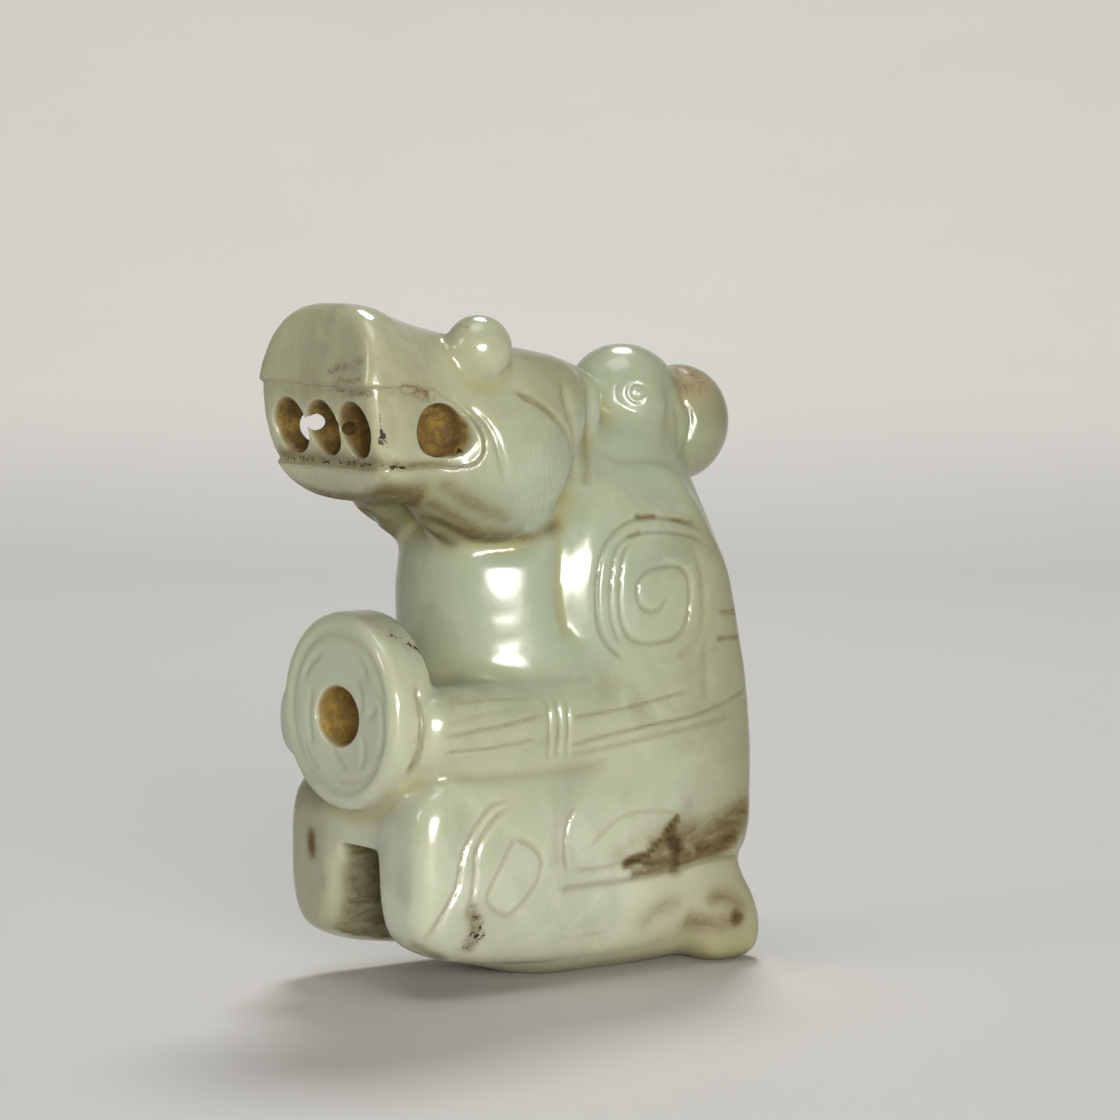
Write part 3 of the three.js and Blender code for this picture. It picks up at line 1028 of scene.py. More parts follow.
@dataclass
class Drawing:
    """All the carved lines, drawn on the sides, the front and the back, in millimetres.

    A point is (y, z) on the sides and (x, z) on the front and the back.
    """

    def hollows(self) -> list[Stroke]:
        """Draws the wide hollows that are ground before the fine lines are cut.

        Returns:
            The hollows of both sides.
        """
        arm_front = (
            (0.9, 43.2), (-0.5, 41.0), (-1.8, 38.6), (-2.6, 35.8), (-2.8, 32.6), (-2.4, 29.6), (-1.0, 27.2),
        )
        under_jaw = (
            (-18.4, 39.6), (-15.4, 39.0), (-13.0, 37.9), (-11.0, 36.8), (-8.5, 36.0), (-5.5, 36.1),
            (-2.4, 37.1), (-0.1, 39.4), (0.9, 41.6),
        )
        calf = ((-3.0, 9.4), (1.0, 9.4), (5.0, 9.5), (9.0, 9.8), (13.5, 10.2))
        out = []
        for face in (Face.LEFT, Face.RIGHT):
            out += [
                Stroke(face, arm_front, 1.15, 0.8, 0.0, 3.5),
                Stroke(face, under_jaw, 0.75, 0.5, 0.0, 3.0),
                Stroke(face, ((-2.9, 14.6), (-3.0, 12.4), (-2.9, 9.9)), 0.9, 0.22, 0.0, 1.5),
                Stroke(face, calf, 0.95, 0.28, 0.0, 2.0),
                Stroke(face, ((-12.0, 43.6), (-9.4, 41.0), (-8.6, 39.2)), 1.4, 0.25, 0.0, 2.0),
                Stroke(face, ((0.7, 51.0), (1.5, 48.4), (1.8, 46.0), (1.7, 43.4)), 0.75, 0.65, 0.0, 2.0),
                Stroke(face, ((10.6, 49.6), (11.6, 47.0), (11.2, 43.6)), 0.8, 0.35, 0.0, 2.0),
                Stroke(face, ((-10.4, 31.0), (-8.4, 30.6), (-6.4, 30.8)), 0.6, 0.05, 0.0, 1.2),
                Stroke(face, ((-10.2, 28.8), (-8.2, 28.5), (-6.0, 28.8)), 0.6, 0.06, 0.0, 1.2),
            ]
        return out

    def shoulder(self, face: Face) -> list[Stroke]:
        """Draws the squared spiral of the shoulder inside its two border lines.

        Args:
            face: the side it is drawn on.

        Returns:
            Its lines.
        """
        border = (
            (11.1, 36.9), (9.0, 37.6), (6.2, 38.0), (3.6, 37.7), (1.8, 36.6), (0.7, 35.0), (0.2, 32.4),
            (0.3, 29.7), (1.0, 28.0), (2.6, 26.5),
        )
        inner_border = (
            (11.4, 35.8), (9.7, 36.4), (6.7, 36.8), (4.4, 36.7), (2.7, 36.1), (1.9, 34.8), (1.45, 32.3),
            (1.5, 30.0), (2.1, 28.0),
        )
        spiral = (
            (3.7, 36.1), (2.9, 35.1), (2.4, 32.7), (2.4, 30.2), (3.0, 28.6), (4.3, 27.8), (6.2, 27.7),
            (8.0, 28.0), (9.2, 29.2), (9.6, 31.3), (9.4, 33.0), (8.4, 33.8), (6.8, 33.9), (5.4, 33.7),
            (4.4, 33.0), (4.1, 31.8), (4.6, 30.7), (5.6, 30.3), (6.7, 30.6), (7.2, 31.6),
        )
        outside = ((10.1, 35.3), (10.8, 33.4), (11.0, 30.9), (10.7, 28.6), (9.7, 27.2), (8.1, 26.3))
        return [
            Stroke(face, border, 0.22, 0.22, 0.6),
            Stroke(face, inner_border, 0.2, 0.18, 0.4),
            Stroke(face, spiral, 0.24, 0.22, 0.45),
            Stroke(face, outside, 0.36, 0.14, 0.3),
            Stroke(face, ((11.2, 28.2), (11.2, 25.5), (11.1, 22.5)), 0.4, 0.14, 0.2),
        ]

    def arm(self, face: Face, back: float) -> list[Stroke]:
        """Draws the cuff, the fingers, the folds of the sleeve and the hand's edge against the disc.

        Args:
            face: the side it is drawn on.
            back: how far the hand's lines sit behind the left hand's.

        Returns:
            Its lines.
        """
        cuffs = [
            Stroke(face, ((y, 23.8), (y + 0.08, 21.5), (y, 18.8)), 0.18, depth, 0.3)
            for y, depth in ((-5.25, 0.2), (-4.3, 0.3), (-3.35, 0.2))
        ]
        fingers = [
            Stroke(face, ((-14.6 + back, 24.0), (-10.4 + back, 24.1), (-7.0, 23.9)), 0.16, 0.06, 0.4),
            Stroke(face, ((-15.4 + back, 21.5), (-10.4 + back, 21.95), (-6.0, 22.5)), 0.18, 0.12, 0.75),
            Stroke(face, ((-15.2 + back, 22.5), (-12.4 + back, 22.9), (-8.6, 23.2)), 0.15, 0.05, 0.25),
            Stroke(face, ((-15.4 + back, 20.2), (-10.4 + back, 20.25), (-6.6, 20.6)), 0.17, 0.1, 0.75),
        ]
        long_fold = ((-2.8, 19.9), (0.8, 20.4), (4.0, 20.8), (10.6, 21.5), (16.0, 23.1))
        sleeve = [
            Stroke(face, ((-2.6, 22.2), (1.0, 22.4), (4.0, 22.7), (9.4, 23.5)), 0.17, 0.09, 0.7),
            Stroke(face, long_fold, 0.18, 0.1, 0.8),
            Stroke(face, ((-2.8, 19.0), (2.0, 19.5), (6.1, 20.0), (13.8, 20.9)), 0.22, 0.05, 0.5),
        ]
        under = ((-15.4, 18.2), (-12.0, 17.9), (-8.0, 17.75), (-4.0, 17.8), (1.0, 18.0))
        edges = [
            Stroke(face, ((-17.0, 25.6), (-17.0, 22.8), (-17.1, 20.4), (-17.1, 18.0)), 0.24, 0.26, 0.8, 0.8),
            Stroke(face, under, 0.55, 0.24, 0.35, 3.0),
            Stroke(face, ((-15.6, 25.6), (-10.0, 25.5), (-4.0, 25.2), (0.0, 25.4)), 0.5, 0.1, 0.2, 3.0),
        ]
        return [*cuffs, *fingers, *sleeve, *edges]

    def leg(self, face: Face) -> list[Stroke]:
        """Draws the kneecap, the fold of the knee, the hip and the line over the calf.

        Args:
            face: the side it is drawn on.

        Returns:
            Its lines.
        """
        kneecap = (
            (-8.9, 12.7), (-7.4, 12.1), (-6.4, 11.2), (-6.2, 10.2), (-6.7, 9.0), (-7.7, 7.8), (-8.7, 6.9),
            (-9.6, 6.5), (-10.7, 6.9), (-11.6, 7.7), (-11.7, 8.4), (-11.2, 9.4), (-10.3, 10.8), (-9.4, 12.2),
            (-8.8, 12.7),
        )
        knee_fold = (
            (-9.4, 16.0), (-11.1, 15.6), (-12.6, 14.4), (-13.7, 12.9), (-14.4, 11.3), (-14.7, 9.5),
            (-15.5, 7.9), (-16.3, 6.4), (-16.8, 5.3),
        )
        inner_fold = (
            (-9.3, 15.3), (-10.7, 14.7), (-12.0, 13.5), (-12.8, 12.1), (-13.0, 10.5), (-13.2, 8.9),
            (-13.7, 7.6),
        )
        calf = ((-4.3, 8.1), (-2.6, 8.15), (0.0, 8.2), (4.2, 8.3), (8.4, 8.7), (12.2, 9.1), (15.6, 9.0))
        return [
            Stroke(face, kneecap, 0.22, 0.2, 0.35, 0.5),
            Stroke(face, knee_fold, 0.24, 0.28, 0.35, 1.6),
            Stroke(face, inner_fold, 0.3, 0.3, 0.35, 1.6),
            Stroke(face, ((-2.4, 15.0), (-3.3, 13.6), (-3.7, 11.7), (-3.7, 9.6)), 0.24, 0.26, 0.35),
            Stroke(face, ((-4.6, 14.4), (-4.7, 12.2), (-4.6, 9.9)), 0.5, 0.12, 0.2, 1.8),
            Stroke(face, calf, 0.3, 0.32, 0.6),
            Stroke(face, ((-2.8, 9.6), (0.0, 9.5), (2.6, 9.7)), 0.2, 0.1, 0.5),
            Stroke(face, ((-1.1, 11.4), (0.4, 12.6), (2.4, 13.6), (4.8, 13.8), (8.0, 13.5)), 0.2, 0.08, 0.4),
        ]

    def face_lines(self, face: Face) -> list[Stroke]:
        """Draws the ear behind the jaw, the second line round the mouth's corner and the lid under the eye.

        Args:
            face: the side it is drawn on.

        Returns:
            Its lines.
        """
        ear = ((-7.1, 48.7), (-5.6, 48.1), (-4.0, 47.1), (-2.5, 45.8), (-1.5, 44.5), (-0.7, 42.6))
        behind_ear = ((-2.3, 49.4), (-1.6, 47.2), (-0.9, 45.5), (-0.3, 43.4), (-0.3, 41.2))
        corner = ((-11.9, 47.9), (-10.9, 46.9), (-10.2, 45.6), (-9.8, 44.2), (-9.5, 42.8), (-8.9, 41.4))
        return [
            Stroke(face, ear, 0.3, 0.5, 0.85),
            Stroke(face, behind_ear, 0.36, 0.45, 0.4),
            Stroke(face, corner, 0.32, 0.26, 0.2, 1.6),
        ]

    def disc(self) -> list[Stroke]:
        """Draws the rings of the disc's face and the curved strokes between them.

        Returns:
            Its lines.
        """
        front = Face.FRONT
        lines = (
            oval((0.2, SIZE.disc_axis), (6.6, 6.5), 0.02, 0.9, 40),
            ((-0.8, 28.9), (0.5, 29.2), (2.2, 28.9), (4.0, 28.2), (5.0, 27.4)),
            ((5.6, 19.2), (4.7, 18.3), (3.4, 17.6), (1.5, 17.2), (-0.4, 17.4)),
            ((5.2, 25.2), (6.2, 24.1), (6.5, 22.8), (6.4, 20.9), (5.7, 19.4)),
            ((2.6, 27.7), (3.7, 27.0), (4.5, 25.8)),
            ((2.9, 25.8), (3.5, 24.3), (3.5, 22.9)),
            ((4.2, 22.6), (5.0, 23.2), (5.9, 23.9)),
            ((-1.1, 20.2), (0.1, 19.1), (1.5, 18.0)),
            ((3.6, 21.4), (3.9, 19.8), (3.3, 18.3)),
            ((-3.5, 24.4), (-4.0, 22.2), (-3.5, 19.8)),
            ((-2.0, 27.4), (-3.6, 26.6), (-4.9, 25.0)),
            ((-4.9, 20.0), (-3.9, 18.7), (-2.4, 17.9)),
        )
        ring, *whorls = lines
        out = [Stroke(front, ring, 0.4, 0.13, 0.15)]
        out += [Stroke(front, line, 0.3, 0.13, 0.22, 0.9) for line in whorls]
        return out

    def crest(self) -> list[Stroke]:
        """Draws the ring and dot on the front lobe and the lines between the lobes.

        Returns:
            Its lines.
        """
        out = []
        for face in (Face.LEFT, Face.RIGHT):
            out += [
                Stroke(face, oval((8.1, 48.0), (1.5, 1.5), 0.1, 0.7, 16), 0.3, 0.07, 0.15),
                Stroke(face, oval((8.1, 48.1), (0.7, 0.7), 0.0, 1.0, 12), 0.2, 0.14, 0.4),
                Stroke(face, ((8.05, 48.15), (8.15, 48.1)), 0.22, 0.12, 1.0, 0.01),
                Stroke(face, ((13.0, 48.2), (13.8, 46.2), (13.7, 44.6), (13.0, 42.8)), 0.28, 0.2, 0.2),
                Stroke(face, ((12.1, 47.2), (12.6, 45.6), (12.5, 44.4), (11.9, 43.1)), 0.26, 0.14, 0.2),
                Stroke(face, ((2.6, 43.4), (5.0, 42.7), (7.7, 42.7), (10.6, 42.0)), 0.6, 0.14, 0.15, 2.0),
            ]
        return out

    def behind(self) -> list[Stroke]:
        """Draws the plain lines of the back: a belt, the line between the arms and the cleft of the feet.

        Returns:
            Its lines.
        """
        back = Face.BACK
        return [
            Stroke(back, ((-7.6, 30.0), (-4.0, 29.4), (0.0, 29.2), (4.0, 29.4), (7.6, 30.0)), 0.3, 0.2, 0.5),
            Stroke(back, ((-7.6, 27.9), (-4.0, 27.3), (0.0, 27.1), (4.0, 27.3), (7.6, 27.9)), 0.3, 0.2, 0.5),
            Stroke(back, ((0.0, 39.0), (0.0, 35.0), (0.0, 31.0)), 0.4, 0.2, 0.3),
            Stroke(back, ((-5.6, 35.8), (-4.9, 33.6), (-5.4, 31.6)), 0.32, 0.15, 0.3),
            Stroke(back, ((5.6, 35.8), (4.9, 33.6), (5.4, 31.6)), 0.32, 0.15, 0.3),
            Stroke(back, ((-7.6, 9.0), (-3.0, 9.3), (3.0, 9.3), (7.6, 9.0)), 0.4, 0.25, 0.5),
        ]

    def all_lines(self) -> list[Stroke]:
        """Gathers every fine line of the carving.

        Returns:
            The lines in the order they were cut.
        """
        lines = []
        for face, back in ((Face.LEFT, 0.0), (Face.RIGHT, -0.8)):
            lines += [*self.shoulder(face), *self.arm(face, back), *self.leg(face), *self.face_lines(face)]
        return [*lines, *self.disc(), *self.crest(), *self.behind()]


@dataclass
class Age:
    """Where the stone is stained, where earth fills its pits, and where shade is painted under the jaw as
    earth.
    """

    def marks(self) -> list[Mark]:
        """Gathers the stains and pits.

        Returns:
            The marks of every side.
        """
        left, right, front, back = Face.LEFT, Face.RIGHT, Face.FRONT, Face.BACK
        earth_and_shade, pit, rust = Holds.EARTH_AND_SHADE, Holds.PIT, Holds.RUST
        fissure = (
            Mark(left, ((8.1, 12.9), (6.8, 11.7), (5.6, 10.6), (4.5, 9.9), (2.8, 9.6)), 0.42, 0.95, earth_and_shade),
            Mark(left, ((4.6, 10.0), (3.6, 9.8), (2.8, 9.6)), 0.55, 0.9, earth_and_shade),
            Mark(left, ((7.4, 11.4), (8.3, 10.3), (8.0, 9.4)), 1.15, 1.05, earth_and_shade),
            Mark(left, ((8.3, 9.9), (8.2, 9.3)), 0.7, 1.2, earth_and_shade),
            Mark(left, ((5.2, 9.4), (6.6, 9.3), (9.6, 9.7)), 0.95, 0.8, earth_and_shade),
            Mark(left, ((10.8, 10.0), (12.9, 10.2), (14.4, 10.8)), 1.0, 0.95, earth_and_shade),
            Mark(left, ((14.2, 10.6), (15.4, 11.6)), 0.9, 0.6, earth_and_shade),
            Mark(left, ((3.6, 8.7), (6.6, 8.8), (9.3, 9.2), (12.4, 9.6)), 0.5, 0.65, earth_and_shade),
            Mark(left, ((6.2, 10.6), (8.6, 11.2), (11.4, 11.2), (13.6, 12.0), (15.6, 12.6)), 1.9, 0.6, earth_and_shade),
            Mark(left, ((8.4, 12.6), (9.4, 13.6)), 1.0, 0.3, earth_and_shade),
            Mark(left, ((2.0, 10.6), (3.6, 11.4), (5.0, 12.0)), 1.2, 0.25, earth_and_shade),
        )
        foot = (
            Mark(left, ((14.7, 3.8), (14.8, 3.9)), 0.8, 1.0, earth_and_shade),
            Mark(left, ((14.9, 4.6), (13.9, 5.5), (12.6, 5.7)), 1.2, 0.45, earth_and_shade),
            Mark(left, ((14.2, 3.6), (12.6, 3.5), (11.2, 3.7), (10.2, 4.0)), 1.3, 0.45, earth_and_shade),
            Mark(left, ((8.0, 5.7), (6.0, 5.4), (5.0, 4.6)), 1.2, 0.32, earth_and_shade),
            Mark(left, ((-3.4, 3.9), (-1.0, 3.9), (1.0, 4.0)), 0.22, 0.45, rust),
        )
        knees = (
            Mark(front, ((-5.9, 11.9), (-5.9, 11.3), (-5.8, 10.7)), 0.7, 0.8, earth_and_shade),
            Mark(front, ((-4.2, 8.6), (-4.1, 7.8)), 0.4, 0.25, earth_and_shade),
            Mark(left, ((-13.3, 7.0), (-12.7, 6.6), (-12.4, 5.9)), 0.26, 0.7, pit),
            Mark(left, ((-12.9, 5.2), (-12.2, 5.1)), 0.42, 1.0, pit),
            Mark(left, ((-14.0, 4.6), (-13.2, 4.0)), 0.25, 0.5, pit),
            Mark(left, ((-13.2, 7.3), (-12.6, 5.6), (-13.3, 4.2)), 0.9, 0.5, rust),
            Mark(left, ((-13.4, 7.2), (-12.8, 5.4), (-13.0, 4.2)), 0.8, 0.45, earth_and_shade),
            Mark(left, ((-15.5, 7.9), (-16.4, 6.4), (-16.9, 5.2)), 0.4, 0.2, earth_and_shade),
            Mark(left, ((-17.2, 4.6), (-16.0, 3.9), (-14.6, 3.2)), 0.7, 0.45, earth_and_shade),
        )
        rim = (
            Mark(left, ((-17.2, 29.4), (-16.6, 29.0), (-16.2, 28.6)), 0.3, 0.75, pit),
            Mark(left, ((-16.2, 28.7), (-15.7, 28.3), (-15.3, 27.7), (-15.1, 27.3)), 0.24, 1.0, pit),
            Mark(left, ((-16.1, 27.9), (-15.5, 27.3)), 0.2, 0.6, pit),
            Mark(left, ((-14.9, 26.7), (-14.7, 26.6)), 0.22, 0.9, pit),
            Mark(left, ((-18.4, 30.4), (-17.2, 29.4), (-15.8, 28.0), (-14.6, 26.4)), 1.3, 0.3, rust),
        )
        mouth = (
            Mark(left, ((-20.6, 47.4), (-20.5, 46.6), (-20.4, 45.6)), 0.15, 0.8, pit),
            Mark(left, ((-20.4, 45.7), (-20.2, 45.1)), 0.4, 1.0, pit),
            Mark(left, ((-19.6, 43.3), (-19.0, 43.1), (-18.2, 43.1)), 0.25, 0.9, pit),
            Mark(front, ((-6.5, 43.3), (-3.0, 43.2), (1.0, 43.1), (5.0, 43.2), (7.4, 43.2)), 0.3, 0.6, pit),
            Mark(front, ((-6.5, 43.6), (-3.0, 43.4), (1.0, 43.4), (5.0, 43.4), (7.4, 43.5)), 0.8, 0.5, earth_and_shade),
            Mark(left, ((-20.0, 43.4), (-16.0, 43.2), (-12.6, 43.2)), 0.4, 0.5, earth_and_shade),
            Mark(left, ((-18.6, 49.7), (-17.4, 49.5), (-16.2, 49.1), (-15.4, 48.9)), 0.2, 1.0, rust),
            Mark(left, ((-19.6, 49.4), (-16.4, 48.7), (-13.8, 48.0)), 0.5, 0.4, rust),
            Mark(front, ((2.6, 49.3), (5.0, 49.0), (7.6, 49.1)), 0.34, 0.65, rust),
            Mark(front, ((2.0, 50.5), (4.0, 51.0), (6.6, 51.6)), 0.5, 0.5, rust),
            Mark(front, ((3.6, 49.9), (5.6, 50.0), (7.2, 50.2)), 0.3, 0.55, rust),
            Mark(front, ((-5.0, 48.6), (0.0, 48.7), (5.0, 48.6)), 0.7, 0.25, rust),
            Mark(left, ((-12.9, 43.9), (-12.3, 44.2)), 0.24, 0.9, pit),
            Mark(left, ((-12.0, 54.3), (-11.4, 54.1)), 0.2, 0.6, rust),
            Mark(left, ((-12.7, 53.8), (-12.3, 54.2)), 0.35, 0.5, rust),
        )
        # The under-jaw line and the next crease paint shade under the jaw and cheek as brown earth.
        under_jaw = ((-14.0, 39.8), (-11.6, 38.2), (-9.0, 37.1), (-5.4, 36.9), (-2.4, 37.7))
        creases = (
            Mark(left, under_jaw, 0.8, 0.5, earth_and_shade),
            Mark(left, ((-13.6, 41.4), (-11.0, 39.6), (-8.6, 38.6)), 0.9, 0.4, earth_and_shade),
            Mark(left, ((0.9, 47.0), (1.4, 45.0), (1.4, 43.0), (0.8, 41.0)), 0.5, 0.35, earth_and_shade),
            Mark(left, ((13.0, 29.8), (14.2, 29.7), (15.4, 29.7)), 0.3, 0.5, earth_and_shade),
            Mark(left, ((12.7, 27.6), (13.9, 27.6), (15.3, 27.5)), 0.3, 0.5, earth_and_shade),
            Mark(left, ((12.6, 49.0), (14.0, 48.4), (15.4, 48.4), (15.6, 50.0)), 0.9, 0.5, rust),
            Mark(left, ((4.6, 38.1), (6.4, 38.1)), 0.3, 0.6, earth_and_shade),
            Mark(left, ((8.4, 37.7), (10.4, 37.4)), 0.3, 0.45, earth_and_shade),
            Mark(left, ((3.6, 36.6), (4.6, 36.8)), 0.28, 0.5, earth_and_shade),
        )
        plainer = (
            Mark(right, ((3.0, 10.2), (7.0, 10.6), (12.0, 11.4)), 1.7, 0.32, earth_and_shade),
            Mark(right, ((-12.0, 6.0), (-11.4, 5.0)), 0.6, 0.4, earth_and_shade),
            Mark(right, ((13.0, 5.4), (14.2, 4.2)), 0.9, 0.4, earth_and_shade),
            Mark(back, ((-6.0, 8.6), (0.0, 9.0), (6.0, 8.6)), 0.9, 0.4, earth_and_shade),
            Mark(back, ((3.4, 40.4), (5.0, 39.0)), 0.8, 0.25, rust),
        )
        return [*fissure, *foot, *knees, *rim, *mouth, *creases, *plainer]


# The stone's finish.


def linear(code: str) -> tuple[float, float, float, float]:
    """Turns a colour's hex code into the numbers a shader mixes.

    Args:
        code: six hex digits.

    Returns:
        Red, green, blue and 1.
    """
    parts = [int(code[i : i + 2], 16) / 255 for i in (0, 2, 4)]
    red, green, blue = (p / 12.92 if p <= 0.04045 else ((p + 0.055) / 1.055) ** 2.4 for p in parts)
    return (red, green, blue, 1.0)


class Field:
    """A number that changes over the stone, used in sums like any other number."""

    def __init__(self, graph: "Graph", socket: bpy.types.NodeSocket) -> None:
        """Wraps a socket of the graph."""
        self.graph = graph
        self.socket = socket

    def _with(self, operation: str, first: object, second: object) -> "Field":
        """Adds one step of arithmetic."""
        node = self.graph.node("ShaderNodeMath", {"operation": operation}, {0: first, 1: second})
        return Field(self.graph, node.outputs[0])

    def __add__(self, other: object) -> "Field":
        """Sum."""
        return self._with("ADD", self, other)

    def __sub__(self, other: object) -> "Field":
        """Difference."""
        return self._with("SUBTRACT", self, other)

    def __rsub__(self, other: object) -> "Field":
        """Difference from a number."""
        return self._with("SUBTRACT", other, self)

    def __mul__(self, other: object) -> "Field":
        """Product."""
        return self._with("MULTIPLY", self, other)

    def either(self, other: object) -> "Field":
        """The larger of two."""
        return self._with("MAXIMUM", self, other)

    def between(self, low: float, high: float) -> "Field":
        """Grades the field smoothly from 0 at one value to 1 at another.

        Args:
            low: the value that gives 0.
            high: the value that gives 1.

        Returns:
            The graded field.
        """
        flip = low > high
        settings = {"interpolation_type": "SMOOTHSTEP"}
        ends = {"From Min": min(low, high), "From Max": max(low, high)}
        to = {"To Min": 1.0 if flip else 0.0, "To Max": 0.0 if flip else 1.0}
        node = self.graph.node("ShaderNodeMapRange", settings, {"Value": self, **ends, **to})
        return Field(self.graph, node.outputs["Result"])


class Graph:
    """The node graph of one material."""

    def __init__(self, name: str) -> None:
        """Starts an empty material with its output and shader.

        Args:
            name: the material's name.
        """
        self.material = bpy.data.materials.new(name)
        self.material.use_nodes = True
        self.tree = self.material.node_tree
        self.tree.nodes.clear()
        self.output = self.tree.nodes.new("ShaderNodeOutputMaterial")
        self.shader = self.tree.nodes.new("ShaderNodeBsdfPrincipled")
        self.tree.links.new(self.shader.outputs[0], self.output.inputs["Surface"])
        position = self.node("ShaderNodeTexCoord", {}, {}).outputs["Object"]
        in_millimetres = {0: position, "Scale": 1 / METRES}
        self.place = self.node("ShaderNodeVectorMath", {"operation": "SCALE"}, in_millimetres).outputs[0]

    def node(self, kind: str, settings: dict[str, object], inputs: dict[object, object]) -> bpy.types.Node:
        """Adds a node.

        Args:
            kind: the node's type.
            settings: its settings, set before its inputs.
            inputs: values, fields or sockets by the name or number of the input.

        Returns:
            The node.
        """
        node = self.tree.nodes.new(kind)
        for name, value in settings.items():
            setattr(node, name, value)
        for key, value in inputs.items():
            self.feed(node.inputs[key], value)
        return node

    def feed(self, socket: bpy.types.NodeSocket, value: object) -> None:
        """Links or sets one input.

        Args:
            socket: the input.
            value: a field, a socket or a plain value.
        """
        if isinstance(value, Field):
            value = value.socket
        if isinstance(value, bpy.types.NodeSocket):
            self.tree.links.new(value, socket)
        else:
            socket.default_value = value

    def noise(self, per_mm: float, detail: float = 3.0, rough: float = 0.55, warp: float = 0.0) -> Field:
        """Adds cloudy noise."""
        shape = {"Scale": per_mm, "Detail": detail, "Roughness": rough, "Distortion": warp}
        return Field(self, self.node("ShaderNodeTexNoise", {}, {"Vector": self.place, **shape}).outputs[0])

    def drawn_out(self, turn: Row, per_mm: Row, detail: float = 2.0, warp: float = 0.0) -> Field:
        """Adds noise that is drawn out one way.

        Args:
            turn: turns about X, Y and Z, in radians.
            per_mm: how many clouds fit in a millimetre along each axis.
            detail: how many finer layers it has.
            warp: how much the clouds are drawn out of shape.

        Returns:
            A field around 0.5.
        """
        turned = {"Vector": self.place, "Rotation": turn, "Scale": per_mm}
        place = self.node("ShaderNodeMapping", {}, turned).outputs[0]
        inputs = {"Vector": place, "Scale": 1.0, "Detail": detail, "Distortion": warp}
        return Field(self, self.node("ShaderNodeTexNoise", {}, inputs).outputs[0])

    def axis(self, name: str) -> Field:
        """Gives one coordinate of the place on the stone, in millimetres."""
        return Field(self, self.node("ShaderNodeSeparateXYZ", {}, {0: self.place}).outputs[name])

    def spot(self, place: Row, radii: Row, soft: float = 0.6) -> Field:
        """Marks a region of the stone.

        Args:
            place: its middle, in millimetres.
            radii: its half axes.
            soft: how much of it is its soft edge.

        Returns:
            A field that is 1 inside and 0 outside.
        """
        moved = self.node("ShaderNodeVectorMath", {"operation": "SUBTRACT"}, {0: self.place, 1: place})
        sized = self.node("ShaderNodeVectorMath", {"operation": "DIVIDE"}, {0: moved.outputs[0], 1: radii})
        away = self.node("ShaderNodeVectorMath", {"operation": "LENGTH"}, {0: sized.outputs[0]})
        return Field(self, away.outputs["Value"]).between(1.0 + soft / 2, 1.0 - soft / 2)

    def carved(self, name: str) -> Field:
        """Reads a number kept at the mesh's points."""
        return Field(self, self.node("ShaderNodeAttribute", {"attribute_name": name}, {}).outputs["Fac"])

    def cover(self, mask: object, crust: dict[object, object]) -> None:
        """Lays a second, opaque surface over the first.

        Args:
            mask: how much of it shows.
            crust: its values by the name of the input.
        """
        second = self.node("ShaderNodeBsdfPrincipled", {}, crust).outputs[0]
        mixed = self.node("ShaderNodeMixShader", {}, {0: mask, 1: self.shader.outputs[0], 2: second})
        self.tree.links.new(mixed.outputs[0], self.output.inputs["Surface"])

    def layered(self, base: object, layers: Sequence[tuple[object, str]]) -> bpy.types.NodeSocket:
        """Lays colours one over the other.

        Args:
            base: the first colour.
            layers: how much of each colour shows, and its hex code.

        Returns:
            The mixed colour.
        """
        for mask, code in layers:
            mixed = self.node("ShaderNodeMix", {"data_type": "RGBA"}, {0: mask, 6: base, 7: linear(code)})
            base = mixed.outputs[2]
        return base


@dataclass(frozen=True)
class Grain:
    """The noises that break up the stone and its stains, from broad to fine, each a field around 0.5."""

    cloud: Field
    drift: Field
    flame: Field
    fleck: Field
    fine: Field
    grit: Field


@dataclass(frozen=True)
class Traces:
    """How strongly each trace of age shows: dirt in the lines, earth with the shade painted under the jaw,
    rust, drilled walls and pits.
    """

    cut: Field
    earth_and_shade: Field
    stain_and_shade: Field
    rust: Field
    drilled: Field
    speck: Field


